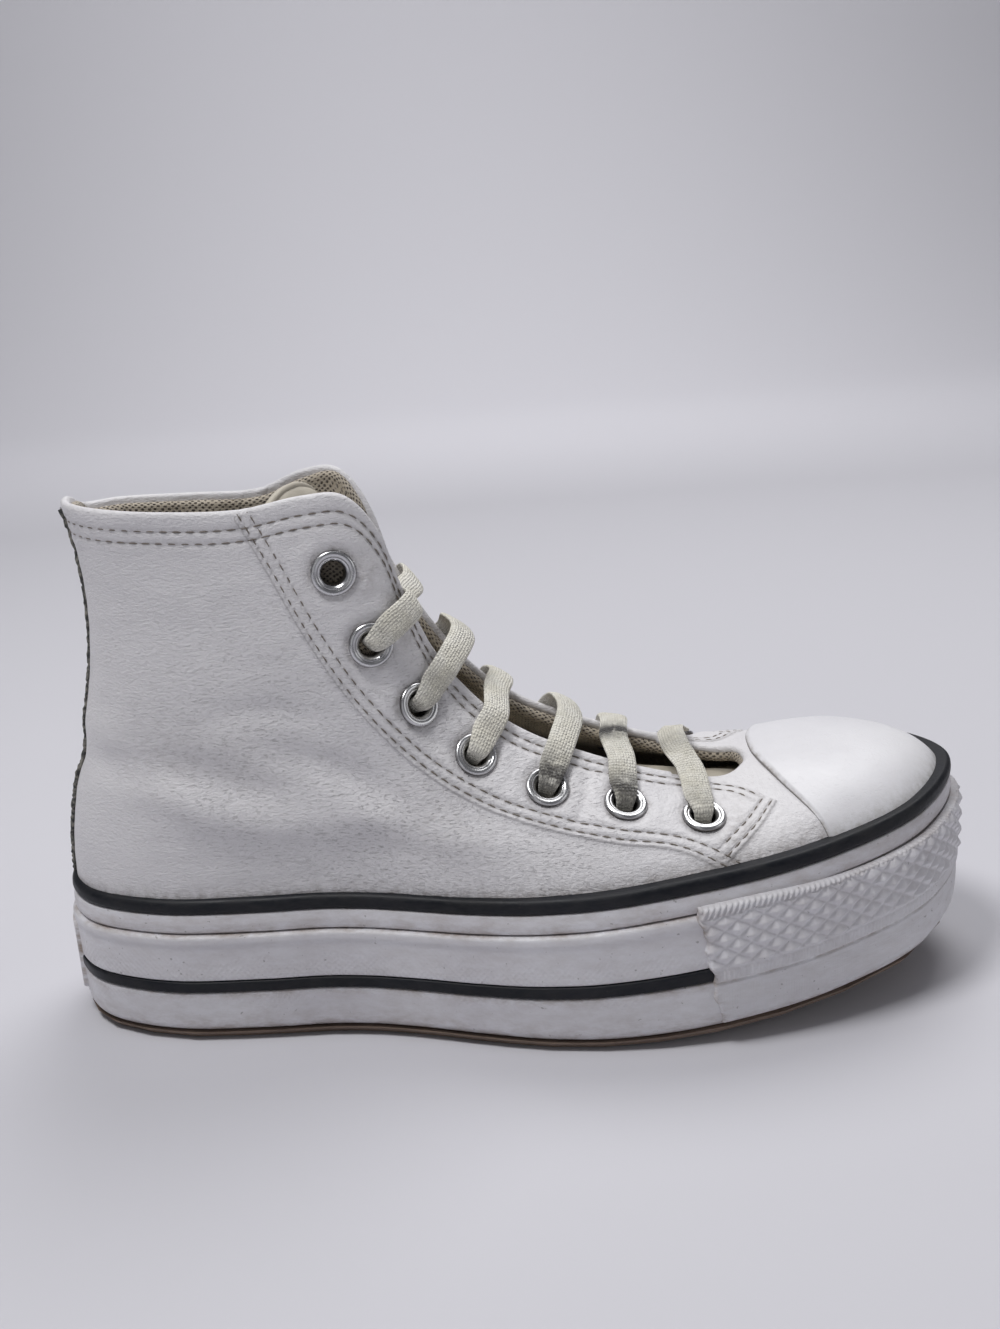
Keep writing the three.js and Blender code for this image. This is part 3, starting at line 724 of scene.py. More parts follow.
def buildCap():
    fine = np.linspace(0, 1, 400)
    ask = evenTurns(0.36, 0.64, 900)
    reach = upperAt(ask[:, None], fine[None, :])
    under = reach[..., 2] < stripeTopAt(reach[:, :1, 0]) - 2.5
    ahead = reach[..., 0] >= capEdgeAt(reach[..., 1])
    first = fine[np.argmin(under, axis=1)]
    last = fine[np.where(ahead.any(1), len(fine) - 1 - np.argmax(ahead[:, ::-1], axis=1), 0)]
    good = last > first + 0.02
    turns, first, last = ask[good], first[good], last[good]
    columns, rows = cap["grid"]
    pick = np.linspace(0, len(turns) - 1, columns)
    t = np.interp(pick, np.arange(len(turns)), turns)
    low, high = np.interp(pick, np.arange(len(turns)), first), np.interp(pick, np.arange(len(turns)), last)
    share = np.linspace(0, 1, rows) ** 0.9
    v = low[:, None] + (high - low)[:, None] * share
    t = np.repeat(t[:, None], len(share), 1)
    plain, normal = upperAt(t, v), upperNormal(t, v)
    back = capEdgeAt(plain[..., 1]) - plain[..., 0]
    lift = cap["lift"] * (0.55 + 0.45 * smooth(0, 1.2, -back))
    lift = lift + 0.25 * noiseAt(plain, 22, seed=1.3) + 0.1 * noiseAt(plain, 7, seed=5.1)
    grid = plain + normal * lift[..., None]
    # the raw edge drops to the vamp
    top = grid[:, -1]
    rim = np.stack([top - normal[:, -1] * drop + [-0.25, 0, 0] for drop in (0.35, 0.8, 1.6)], 1)
    grid = np.concatenate([grid, rim], 1)
    edge = np.concatenate([np.clip(-back, 0, 9) + 0.3, np.zeros((columns, rim.shape[1]))], 1)
    # darker at the cap's foot by the stripe, and strongly on the raw edge, where the edge's own grey is deepened
    # with painted shade
    darkening = most(0.5 * fade(grid[..., 2] - stripeTopAt(grid[:, :1, 0]), 2), 0.9 * bell(edge, 0.9))
    values = {"seam": np.full(edge.shape, 9.0), "edge": edge, "darkening": darkening, "crease": np.full(edge.shape, 0.1)}
    gridPiece("toeCapShell", grid, capLeather, nodes=("toe_cap",), slot="leather", values=values)


buildCap()


# Heel strip: narrow leather up the back, with a raw woven edge on each side
heelStrip = {"half": 4.6, "lift": 0.9, "edgeRadius": 0.75, "grid": (15, 150)}


# Cotton tape, woven and frayed: a mottled dark line without shine down the heel
def makeRawEdge():
    material, add = newMaterial("rawWovenEdge")
    place = add("TexCoord", out="Object")
    tone = add("TexNoise", scale=900, detail=3, vector=place)
    ramp = add("ValToRGB", ramp=((0.4, "#3b3c3c"), (0.66, "#8b8880")), fac=tone)
    bump = add("Bump", strength=0.8, distance=0.0005, height=tone)
    add("OutputMaterial", add("BsdfPrincipled", baseColor=ramp, normal=bump, roughness=0.9))
    return material


rawEdge = makeRawEdge()


def tube(path, radius, sides=8, normals=None, flat=1.0):  # a closed tube of points round a path
    run = unit(np.gradient(path, axis=0))
    up = np.tile([0, 0, 1.0], (len(path), 1)) if normals is None else normals
    aside = unit(np.cross(run, up))
    rise = np.cross(aside, run)
    turn = circle(sides)
    radius = np.broadcast_to(radius, (len(path),))[:, None, None]
    return path[:, None] + radius * (
        aside[:, None] * np.cos(turn)[None, :, None] + flat * rise[:, None] * np.sin(turn)[None, :, None]
    )


def buildHeelStrip():
    columns, rows = heelStrip["grid"]
    v = np.linspace(0.03, 0.995, rows)
    fine = np.linspace(-0.05, 0.05, 400)
    grid = np.zeros((columns, len(v), 3))
    normals = np.zeros_like(grid)
    for row, share in enumerate(v):
        points = upperAt(fine, share)
        run = runOf(points) - np.interp(0, fine, runOf(points))
        t = np.interp(np.linspace(-heelStrip["half"], heelStrip["half"], columns), run, fine)
        grid[:, row], normals[:, row] = skinAt(t, share + 0 * t)[0], upperNormal(t, share + 0 * t)
    across = np.linspace(-1, 1, columns)
    lift = heelStrip["lift"] * (1 - 0.75 * np.abs(across) ** 8)
    face = grid + normals * lift[:, None, None]
    edge = (heelStrip["half"] * (1 - np.abs(across)))[:, None] + np.zeros((1, len(v)))
    seam = np.abs(edge - 1.5)
    values = {"seam": seam, "edge": edge + 0.3, "darkening": 0.25 + 0 * edge, "crease": 0.4 + 0 * edge}
    gridPiece("heelStripLeather", face, leather, slot="leather", values=values)
    parts = []
    for column in (0, -1):
        path = grid[column] + normals[column] * 0.45 * heelStrip["lift"]
        path = path + 0.12 * rng.standard_normal(path.shape)
        ring = tube(path, heelStrip["edgeRadius"], 8, normals[column])
        parts.append((ring, gridFaces(len(path), 8, closeRows=True)))
    meshPiece("heelStripEdges", *joined(parts), rawEdge, slot="leather")


buildHeelStrip()

# Ankle patch on the inner side: a bare round of leather with a zigzag-stitched rim
patch = {"at": (50, 103), "radius": 20.5, "lift": 0.9, "stitches": 84}


def onInnerSide(radius, angle):  # t and v of places round the patch's middle
    s, z = patch["at"][0] + radius * np.cos(angle), patch["at"][1] + radius * np.sin(angle)
    guess = np.stack([s, 22 + 0 * s, z], -1)
    for turn in range(3):
        t, v = (found.reshape(s.shape) for found in findOnUpper(guess))
        guess[..., 1] = upperAt(t, v)[..., 1]
    return t, v


def buildPatch():
    turn = circle(160)
    size = patch["radius"]
    radius = np.concatenate([np.linspace(0.5, size - 0.6, 40), [size - 0.2, size]])
    t, v = onInnerSide(radius[None, :], turn[:, None])
    lift = np.where(radius < size - 0.3, patch["lift"], [patch["lift"] * 0.7] * (len(radius) - 1) + [-0.2])
    away = np.abs(radius - (size - 1.6))
    lift = lift - 0.3 * bell(away, 0.9)
    grid = skinAt(t, v)[0] + upperNormal(t, v) * lift[None, :, None]
    edge, seam = (np.tile(row, (len(turn), 1)) for row in (size - radius + 0.2, away))
    values = {"seam": seam, "edge": edge, "darkening": 0.3 + 0 * edge, "crease": 0.25 + 0 * edge}
    gridPiece("anklePatch", grid, leather, closeColumns=True, flip=True, slot="leather", values=values)
    # zigzag stitches over the rim
    parts = []
    line = np.linspace(0, 1, 6)
    for number in range(patch["stitches"]):
        first, last = (size - 2.4, size + 0.5) if number % 2 else (size + 0.5, size - 2.4)
        radius = first + (last - first) * line
        t, v = onInnerSide(radius, 2 * math.pi * (number + line) / patch["stitches"])
        over = np.where(radius < size, patch["lift"] * 0.75, 0.1) + 0.1
        normal = upperNormal(t, v)
        ring = tube(skinAt(t, v)[0] + normal * over[:, None], 0.32, 6, normal)
        parts.append((ring, gridFaces(len(line), 6, closeRows=True)))
    meshPiece("patchStitches", *joined(parts), thread, slot="leather")


buildPatch()
print("cap, heel strip and patch")


# Vulcanised rubber, moulded: a dull, even shine. Soil lies in its joints, and a fine net is moulded by the stripe.
def makeRubber(name, look):
    material, add = newMaterial(name)
    place = add("TexCoord", out="Object")
    darkening, net = (add("Attribute", attribute_name=key, out="Fac") for key in ("darkening", "net"))
    flat = add("Attribute", attribute_name="flatMm", out="Vector")
    tone = add("TexNoise", scale=24, detail=5, roughness=0.6, vector=place)
    base = add("ValToRGB", ramp=((0.32, look["shade"]), (0.68, look["light"])), fac=tone)
    smear = add("Mapping", scale=(1, 1, 2.6), vector=place)
    smear = add("TexNoise", scale=130, detail=6, roughness=0.72, vector=smear)
    smear = add("MapRange", fromMin=0.38, fromMax=0.66, value=smear)
    darkPatches = add("Math", darkening, smear, operation="MULTIPLY")
    color = add("Mix", data_type="RGBA", factor=darkPatches, a=base, b=look["darkening"])
    specks = add("TexNoise", scale=620, detail=2, vector=place)
    specks = add("MapRange", fromMin=0.71, fromMax=0.75, toMax=look["specks"], value=specks)
    color = add("Mix", data_type="RGBA", factor=specks, a=color, b="#57504a")
    fine = add("TexNoise", scale=700, detail=4, vector=place)
    bump = add("Bump", strength=look["bump"], distance=0.0003, height=fine)
    # the net's real mesh of about 0.8 mm is drawn at 1.3 mm
    turned = add("Mapping", rotation=(0, 0, math.pi / 4), scale=(0.77, 0.77, 1), vector=flat)
    knots = add("TexVoronoi", scale=1, randomness=0, vector=turned)
    knots = add("Math", knots, net, operation="MULTIPLY")
    bump = add("Bump", strength=0.6, distance=0.0004, height=knots, normal=bump)
    gloss = add("MapRange", toMin=look["roughness"] - 0.08, toMax=look["roughness"] + 0.08, value=smear)
    shader = add(
        "BsdfPrincipled", baseColor=color, normal=bump, roughness=gloss, specularIorLevel=look["specular"]
    )
    add("OutputMaterial", shader)
    return material


whiteRubber = makeRubber("scuffedWhiteRubber", {
    "light": "#dfdee2", "shade": "#d3d1d6", "darkening": "#8d7c6e",
    "specks": 0.45, "bump": 0.25, "roughness": 0.5, "specular": 0.5,
})
# The pinstripes' rubber is filled with pigment: nearly black, with little shine
navyRubber = makeRubber("navyStripeRubber", {
    "light": "#13161e", "shade": "#0c0f15", "darkening": "#4d4b4a",
    "specks": 0.15, "bump": 0.3, "roughness": 0.5, "specular": 0.25,
})
# The tread's rubber is gum: brown, rougher and duller than the walls
treadRubber = makeRubber("brownTreadRubber", {
    "light": "#7d6c60", "shade": "#66574d", "darkening": "#4a4039",
    "specks": 0.4, "bump": 0.6, "roughness": 0.7, "specular": 0.5,
})

sole = {"columns": 720, "wallInset": 0.6, "stripeLow": 15.4, "stripeHigh": 19.1}
soleTurns = evenTurns(0, 1, sole["columns"] + 1)[:-1]
soleRun = runOf(ringAt(soleRing, np.append(soleTurns, 1.0)))[:-1]


def outlineBand(name, profile, material, node, slot="white_rubber", dirtAt=None, netAt=None, unevenness=0.0):
    grows = np.array([p[0] for p in profile], float)
    grid = np.stack([edgePoint(soleTurns, g + 0 * soleTurns, h) for g, h in zip(grows, [p[1] for p in profile])], 1)
    grid += outward(soleTurns)[:, None] * (unevenness * noiseAt(grid, 26, seed=2.2))[..., None]
    down = runOf(grid[0])
    flat = np.stack([np.tile(soleRun[:, None], (1, len(profile))), np.tile(down, (len(soleTurns), 1))], -1)
    none = 0 * grid[..., 0]
    values = {"darkening": dirtAt(grid) if dirtAt else 0.2 + none, "net": netAt(grid) if netAt else none}
    gridPiece(name, grid, material, closeColumns=True, nodes=(node,), slot=slot, values=values, flatMm=flat)


def roundProfile(points, radius, steps=4):  # rounds the corners of a profile given as grow and height at the heel
    out = [points[0]]
    for before, corner, after in zip(points, points[1:], points[2:]):
        a, b, c = (np.array(p, float) for p in (before, corner, after))
        reach = min(radius, 0.45 * np.linalg.norm(b - a), 0.45 * np.linalg.norm(c - b))
        first, last = b + unit(a - b) * reach, b + unit(c - b) * reach
        for w in np.linspace(0, 1, steps + 1):
            out.append(tuple((1 - w) ** 2 * first + 2 * w * (1 - w) * b + w * w * last))
    out.append(points[-1])
    return out


def split(points, most):  # splits long straight stretches of a profile
    out = []
    for a, b in zip(points, points[1:]):
        count = max(1, math.ceil(math.dist(a, b) / most))
        out += [tuple(np.array(a) + (np.array(b) - a) * k / count) for k in range(count)]
    return out + [points[-1]]


def withWall(points, most=2.2):  # turns heights on the wall at the heel into functions of s
    return [(grow, wallHeight(height)) for grow, height in split(points, most)]


def overLedge(points, most=1.5):  # the same for heights over the ledge
    return [(grow, lambda s, rise=rise: ledgeAt(s) + rise) for grow, rise in split(points, most)]


def platformDirt(grid):
    s, z = grid[..., 0], grid[..., 2]
    low, high = wallHeight(sole["stripeLow"])(s), wallHeight(sole["stripeHigh"])(s)
    ground = 0.16 + 0.85 * fade(z - springAt(s) - form["tread"], 2.4)
    stripe = most(0.75 * bell(z - low, 1.6, 1), 0.3 * bell(z - high, 1, 1))
    return most(ground, stripe, 0.8 * bell(ledgeAt(s) - z, 0.7, 1))


def platformNet(grid):
    s, z = grid[..., 0], grid[..., 2]
    low, high = wallHeight(sole["stripeLow"])(s), wallHeight(sole["stripeHigh"])(s)
    return fade(z - high, 5) * (z > high) + fade(low - z, 3.5) * (z < low)


foot = form["tread"] + form["gap"]
inset = sole["wallInset"]
platformProfile = roundProfile([
    (-30, foot),
    (-2.6, foot),
    (-1, foot + 2),
    (-inset, sole["stripeLow"] - 0.1),
    (-inset - 1.2, sole["stripeLow"]),
    (-inset - 1.2, sole["stripeHigh"]),
    (-inset, sole["stripeHigh"] + 0.1),
    (-0.35, form["ledge"] - 4),
    (0.15, form["ledge"] - 2.2),
    (0.05, form["ledge"] - 0.6),
    (-0.9, form["ledge"]),
    (-7, form["ledge"]),
], 0.8)
outlineBand(
    "platformWall", withWall(platformProfile), whiteRubber, "platform",
    dirtAt=platformDirt, netAt=platformNet, unevenness=0.18,
)

low, high = sole["stripeLow"] + 0.2, sole["stripeHigh"] - 0.2
stripeProfile = withWall(roundProfile([
    (-inset - 1.1, low), (-0.35, low), (-0.25, (low + high) / 2), (-0.35, high), (-inset - 1.1, high)
], 0.6), 1.2)
outlineBand("lowerStripeBand", stripeProfile, navyRubber, "lower_stripe", slot="stripe_rubber", unevenness=0.1)


def foxingDirt(grid):
    rise = grid[..., 2] - ledgeAt(grid[..., 0])
    return most(0.3 + 0.75 * fade(rise, 0.9), 0.5 * bell(rise - form["foxing"] - form["gap"], 0.7, 1))


foxingTop = form["gap"] + form["foxing"]
foxingProfile = roundProfile([
    (-5.5, form["gap"]), (-1.5, form["gap"]), (-0.95, 1.2), (-0.9, 3.2), (-1.3, foxingTop), (-5.5, foxingTop)
], 0.5)
outlineBand("foxingBand", overLedge(foxingProfile), whiteRubber, "foxing", dirtAt=foxingDirt, unevenness=0.28)
stripeTop = foxingTop + form["gap"] + form["stripe"]
stripeProfile = overLedge(roundProfile([
    (-5.5, foxingTop + 0.1), (-1.5, foxingTop + 0.1), (-0.95, foxingTop + 1.2), (-1.15, stripeTop - 1.1),
    (-2.2, stripeTop), (-6, stripeTop - 0.3),
], 0.8))
outlineBand("upperStripeBand", stripeProfile, navyRubber, "upper_stripe", slot="stripe_rubber", unevenness=0.28)
print("platform, foxing and stripes")


# Toe bumper: slanted ribs over the ledge, pressed diamonds down to the lower stripe's level, a plain band and
# seam, then a pebbled wall
bumper = {
    "from": (177, 183),  # rear edge at its top and foot
    "thickness": 1.25,
    "drop": 3.6,  # from the foxing's top to the ribs' top
    "ribPitch": 1.6,
    "studPitch": 1.3,
    "ribsEnd": 228,
    "diamond": (7.2, 5.0),
    "relief": 1.3,
    "pebble": 1.5,
    "grid": (640, 120),
}


def diamondsAt(along, down):
    p = (along / bumper["diamond"][0] + down / bumper["diamond"][1]) % 1
    q = (along / bumper["diamond"][0] - down / bumper["diamond"][1]) % 1
    away = np.maximum(np.abs(2 * p - 1), np.abs(2 * q - 1))
    return bumper["relief"] * (1 - away) ** 0.8


def buildBumper():
    columns, rows = bumper["grid"]
    share = np.linspace(0, 1, rows)
    fine = np.linspace(0.25, 0.75, 4000)
    fineS = ringAt(soleRing, fine)[:, 0]
    backS = bumper["from"][1] + (bumper["from"][0] - bumper["from"][1]) * share
    backS = backS + 0.5 * np.sin(share * 19) + 0.25 * np.sin(share * 47)
    outer, inner = fine < 0.5, fine >= 0.5
    first = np.interp(backS, fineS[outer], fine[outer])
    last = np.interp(-backS, -fineS[inner], fine[inner])
    u = np.linspace(0, 1, columns)
    t = first[None, :] + (last - first)[None, :] * u[:, None]
    middle = np.interp(t, fine, runOf(ringAt(soleRing, fine)))
    middle = middle - np.interp(0.5, fine, runOf(ringAt(soleRing, fine)))
    s = ringAt(soleRing, t)[..., 0]
    taper = 1 - smooth(bumper["ribsEnd"] - 40, bumper["ribsEnd"], s)
    ribs = (foxingTopAt(s) - bumper["drop"] - ledgeAt(s)) * taper + 0.2
    low = springAt(s) + form["tread"] + form["gap"] + 1.2
    high = ledgeAt(s) + ribs
    z = low + (high - low) * share[None, :]
    # the wall leans in at its foot
    wall = -inset + inset * smooth(0, 8, z - low) - 1.2 * (1 - smooth(0, 2.5, z - low))
    level = wallHeight(sole["stripeHigh"])(s)
    seamLevel = wallHeight(sole["stripeLow"])(s)
    down = ledgeAt(s) - z
    above = z > ledgeAt(s) - 0.2
    inDiamonds = smooth(0.2, 0.8, down) * smooth(0, 0.7, z - level)
    relief = inDiamonds * diamondsAt(middle, down)
    relief = relief + 0.75 * above * wave(middle + 0.55 * down, bumper["ribPitch"]) ** 0.7
    studs = smooth(0.2, 0.8, level - z) * smooth(0.3, 0.9, z - seamLevel)
    relief = relief + 0.3 * studs * wave(middle, bumper["studPitch"]) - 0.7 * bell(z - seamLevel, 0.45)
    pebble = (2 * wave(middle + down, bumper["pebble"]) - 1) * (2 * wave(middle - down, bumper["pebble"]) - 1)
    relief = relief + 0.16 * pebble * smooth(0.4, 1.4, seamLevel - z) * smooth(0.5, 2, z - low)
    relief = relief - 0.25 * smooth(0.2, 1.2, seamLevel - z)
    ends = np.minimum(u, 1 - u)[:, None] * (middle[-1] - middle[0])[None, :]
    edgeDrop = 1 - 0.5 * (1 - smooth(0, 0.8, ends)) - 0.35 * (1 - smooth(0, 0.7, high - z))
    grow = wall + (bumper["thickness"] + relief) * edgeDrop
    grid = edgePoint(t, grow, 0)
    grid[..., 2] = z
    # closes down to the wall on all four sides
    shell = np.pad(grid, ((1, 1), (1, 1), (0, 0)), mode="edge")
    t, wall, z, low, seamLevel, middle, down, ends, inDiamonds = (
        np.pad(a, 1, mode="edge")
        for a in np.broadcast_arrays(t, wall, z, low, seamLevel, middle, down, ends, inDiamonds)
    )
    back = edgePoint(t, wall - 0.9, 0)
    back[..., 2] = z
    border = np.ones(shell.shape[:2], bool)
    border[1:-1, 1:-1] = False
    shell[border] = back[border]
    inGrooves = inDiamonds * (1 - np.clip(diamondsAt(middle, down) / 0.25, 0, 1))
    darkening = most(
        0.15 + 0.85 * fade(ends, 1.1), 0.8 * bell(z - seamLevel, 0.6, 1), 0.7 * fade(z - low, 2),
        0.3 * inGrooves, 0.5 * bell(down, 0.5, 1),
    )
    flat = np.stack([middle, down], -1)
    values = {"darkening": darkening, "net": 0 * darkening}
    gridPiece(
        "toeBumperRubber", shell, whiteRubber, nodes=("toe_bumper",), slot="white_rubber",
        values=values, flatMm=flat,
    )


buildBumper()

# Heel plate: bare, with a raised border
plate = {"half": 12, "low": 7, "high": 30.4, "thickness": 0.9, "corner": 3, "grid": (110, 110)}


def buildHeelPlate():
    fine = np.linspace(-0.06, 0.06, 800)
    run = runOf(ringAt(soleRing, fine))
    run = run - np.interp(0, fine, run)
    along = np.linspace(-plate["half"], plate["half"], plate["grid"][0])
    z = np.linspace(plate["low"], plate["high"], plate["grid"][1])
    t = np.interp(along, run, fine)[:, None] + 0 * z[None, :]
    middle = (plate["low"] + plate["high"]) / 2
    tall = (plate["high"] - plate["low"]) / 2 - plate["corner"]
    a = np.clip(np.abs(along)[:, None] - (plate["half"] - plate["corner"]), 0, None)
    b = np.clip(np.abs(z - middle)[None, :] - tall, 0, None)
    inside = plate["corner"] - np.hypot(a, b)
    lift = -0.4 + (plate["thickness"] + 0.4) * smooth(0, 0.9, inside)
    lift = lift - 0.3 * smooth(1.8, 2.6, inside)
    grid = edgePoint(t, -inset + 0.3 + lift, 0)
    grid[..., 2] = z[None, :] + 0 * t
    flat = np.stack([along[:, None] + 0 * t, z[None, :] + 0 * t], -1)
    darkening = 0.2 + 0.8 * bell(inside - 0.4, 0.5, 1) + 0.3 * bell(inside - 2.2, 0.4, 1)
    values = {"darkening": np.clip(darkening, 0, 1), "net": 0 * darkening}
    gridPiece(
        "heelPlateBare", grid, whiteRubber, nodes=("heel_plate",), slot="white_rubber",
        values=values, flatMm=flat,
    )


buildHeelPlate()
print("bumper and heel plate")


# Spacer mesh inside the collar and on the tongue's back: round holes in rows, beige, puffed over its foam
def makeSpacerMesh():
    material, add = newMaterial("beigeSpacerMesh")
    flat = add("Attribute", attribute_name="flatMm", out="Vector")
    place = add("TexCoord", out="Object")
    wobble = add("TexNoise", scale=180, detail=1, vector=place, out="Color")
    moved = add("Mix", data_type="RGBA", blend_type="LINEAR_LIGHT", factor=0.25, a=flat, b=wobble)
    # holes about 1 mm apart are drawn at 1.3 mm, to stay visible; they are filled with dark brown painted shade
    rows = add("Mapping", scale=(0.62, 0.9, 1), rotation=(0, 0, 0.78), vector=moved)
    cells = add("TexVoronoi", scale=1.15, randomness=0.2, vector=rows)
    holes = add("MapRange", fromMin=0.16, fromMax=0.4, value=cells)
    tone = add("TexNoise", scale=70, detail=4, vector=place)
    base = add("ValToRGB", ramp=((0.35, "#a79c8c"), (0.65, "#c6bcac")), fac=tone)
    color = add("Mix", data_type="RGBA", factor=holes, a="#5d5349", b=base)
    bump = add("Bump", strength=0.9, distance=0.0009, height=holes)
    fuzz = add("TexNoise", scale=1200, detail=2, vector=place)
    bump = add("Bump", strength=0.5, distance=0.0003, height=fuzz, normal=bump)
    shader = add(
        "BsdfPrincipled", baseColor=color, normal=bump, roughness=0.9, sheenWeight=0.25, sheenRoughness=0.5
    )
    add("OutputMaterial", shader)
    return material


spacerMesh = makeSpacerMesh()
lining = {
    "wall": 3.0,  # from the leather's face to the lining's
    "puff": 2.2,
    "under": 0.6,  # starts this far under the edge round the ankle
    "peek": 1.5,  # and rises this far over it along the throat
    "frontPeek": 1.0,
    "cut": 3.4,
}


def buildLining():
    t = evenTurns(0, 1, 361)[:-1]
    top, normal = upperAt(t, 1 + 0 * t), upperNormal(t, 1 + 0 * t)
    rise = unit(upperAt(t, 1 + 0 * t) - upperAt(t, 0.97 + 0 * t))
    throat = smooth(0.16, 0.22, np.minimum(t, 1 - t))
    front = smooth(0.43, 0.48, np.minimum(t, 1 - t))
    start = -lining["under"] + (lining["under"] + lining["peek"]) * throat + lining["frontPeek"] * front
    half = lining["puff"] / 2 + 0.6
    # a soft roll at the top, then the wall down to the insole
    turn = np.linspace(0.15, math.pi, 10)
    center = top - normal * (skin["rimWidth"] * 0.5 + half)
    center = center + rise * (start - half)[:, None]
    roll = [center + normal * half * math.cos(a) + rise * half * math.sin(a) for a in turn]
    v = np.linspace(0.97, 0.02, 70)
    wallFace, wallNormal = upperAt(t[:, None], v[None, :]), upperNormal(t[:, None], v[None, :])
    below = np.linalg.norm(wallFace - top[:, None], axis=-1)
    depth = lining["wall"] + lining["puff"] * smooth(0, 6, below) * (1 - smooth(18, 34, below))
    depth = depth + 0.5 * noiseAt(wallFace, 16, seed=9.4)
    wallFace = wallFace - wallNormal * depth[..., None]
    low = below > np.abs(start - half)[:, None] + 1.5
    wallFace = np.where(low[..., None], wallFace, roll[-1][:, None] - rise[:, None] * (below * 0.5)[..., None])
    grid = np.concatenate([np.stack(roll, 1), wallFace], 1)
    down = runOf(grid[40])
    run = runOf(ringAt(topRing, np.append(t, 1.0)))[:-1]
    flat = np.stack([np.tile(run[:, None], (1, grid.shape[1])), np.tile(down, (len(t), 1))], -1)
    keep = np.ones(grid.shape[:2], bool)
    keep[:, len(roll):] = nearestEyelet(upperAt(t[:, None], v[None, :]), 2) > lining["cut"]
    gridPiece(
        "collarLining", grid, spacerMesh, closeColumns=True, flip=True, keep=keep, slot="lining", flatMm=flat
    )


buildLining()

# Insole: a flat sock liner with a soft hollow at the heel, in the spacer mesh
insole = {"margin": 6.6, "height": 3.4, "hollow": 0.8}


def buildInsole():
    t = evenTurns(0, 1, 241)[:-1]
    share = np.concatenate([[0], np.linspace(0.02, 1, 40) ** 0.8])
    rim = edgePoint(t, -insole["margin"] + 0 * t, lambda s: ledgeAt(s) + form["gap"])
    spineS = np.clip(rim[:, 0], 34, 214)
    spine = np.stack([spineS, 0 * t - 1.5, ledgeAt(spineS)], 1)
    grid = rim[:, None] + (spine - rim)[:, None] * share[None, :, None]
    away = smooth(0, 0.25, share)[None, :]
    hollow = insole["hollow"] * away * bell(grid[..., 0] - 40, 26)
    grid[..., 2] = ledgeAt(grid[..., 0]) + form["gap"] + insole["height"] - hollow
    grid[:, 0, 2] -= 3
    flat = grid[..., :2]
    gridPiece(
        "sockLiner", grid, spacerMesh, closeColumns=True, flip=True, nodes=("insole",), slot="lining", flatMm=flat
    )


buildInsole()
print("lining and insole")


# Tongue, slumped back into the shaft, with spacer mesh behind. Its leather is soft, cream and hardly coated: a
# mottled face with a low shine. Its cream is painted darker, grey-beige, as painted shade for lying deep in the
# shaft.
def makeTongueLeather():
    material, add = newMaterial("shadedCreamTongueLeather")
    place = add("TexCoord", out="Object")
    tone = add("TexNoise", scale=45, detail=5, roughness=0.6, vector=place)
    base = add("ValToRGB", ramp=((0.3, "#9d9588"), (0.62, "#beb7a9")), fac=tone)
    fine = add("TexNoise", scale=700, detail=4, vector=place)
    bump = add("Bump", strength=0.35, distance=0.0004, height=fine)
    add("OutputMaterial", add("BsdfPrincipled", baseColor=base, normal=bump, roughness=0.55))
    return material


tongueLeather = makeTongueLeather()
tongue = {
    "rows": [  # s, height, half width, arch, skew of the top edge
        (203, 56.6, 15, 1.5, 0),
        (186, 57.8, 16, 2.5, 0),
        (162, 61.9, 17, 3.5, 0),
        (140, 67, 18, 4, 0),
        (122, 79, 18, 4, 0),
        (109, 96, 17.7, 4, 0.02),
        (100, 114, 17.9, 3, 0.08),
        (90, 133, 18.3, 1.5, 0.2),
        (80, 146, 19, 0.5, 0.35),
        (76, 152.5, 18, 0.5, 0.4),
    ],
    "thickness": 2.8,
    "archFrom": 128,  # the height over which its top bends into an arch
    "topArch": 9,
    "columns": 46,
}


def buildTongue():
    rows = curveThrough([(s, z, half, arch, 20 * skew) for s, z, half, arch, skew in tongue["rows"]], 1.6)
    run = unit(np.gradient(rows[:, :2], axis=0))
    normal = np.stack([run[:, 1], 0 * run[:, 0], -run[:, 0]], 1)
    across = np.linspace(-1, 1, tongue["columns"])
    half, arch, skew = rows[:, 2:3], rows[:, 3:4], rows[:, 4:5] / 20
    s = rows[:, :1] + skew * half * across
    y = form["topMiddle"] + half * across
    atTop = smooth(tongue["archFrom"], rows[-1, 1], rows[:, 1:2])
    z = rows[:, 1:2] - tongue["topArch"] * atTop * np.abs(across) ** 2.5
    face = np.stack([s, y, z], -1) - normal[:, None] * (arch * across**2)[..., None]
    slump = 0.7 * noiseAt(face, 17, seed=4.5) + 0.25 * noiseAt(face, 5, seed=1.5)
    face = face + normal[:, None] * slump[..., None]
    thick = tongue["thickness"] * np.sqrt(np.clip(1 - np.abs(across) ** 6, 0, 1))
    taper = smooth(0, 2.5, runOf(rows[:, :2])[-1] - runOf(rows[:, :2]))[:, None]
    thick = np.maximum(thick[None, :] * (0.25 + 0.75 * taper), 0.1)
    middle = face - normal[:, None] * (tongue["thickness"] / 2)
    front = middle + normal[:, None] * (thick / 2)[..., None]
    back = middle - normal[:, None] * (thick / 2)[..., None]
    flat = np.stack([y, np.tile(runOf(rows[:, :2])[:, None], (1, tongue["columns"]))], -1)
    gridPiece("tongueFace", front, tongueLeather, flip=True, nodes=("tongue",), slot="tongue_leather", flatMm=flat)
    gridPiece("tongueBack", back, spacerMesh, slot="lining", flatMm=flat)
    # the bound edge round the top
    rim = np.concatenate([middle[20:, 0], middle[-1, 1:-1], middle[20:, -1][::-1]])
    gridPiece("tongueEdge", tube(rim, 1.1, 8), tongueLeather, closeRows=True, slot="tongue_leather")


buildTongue()
print("tongue")


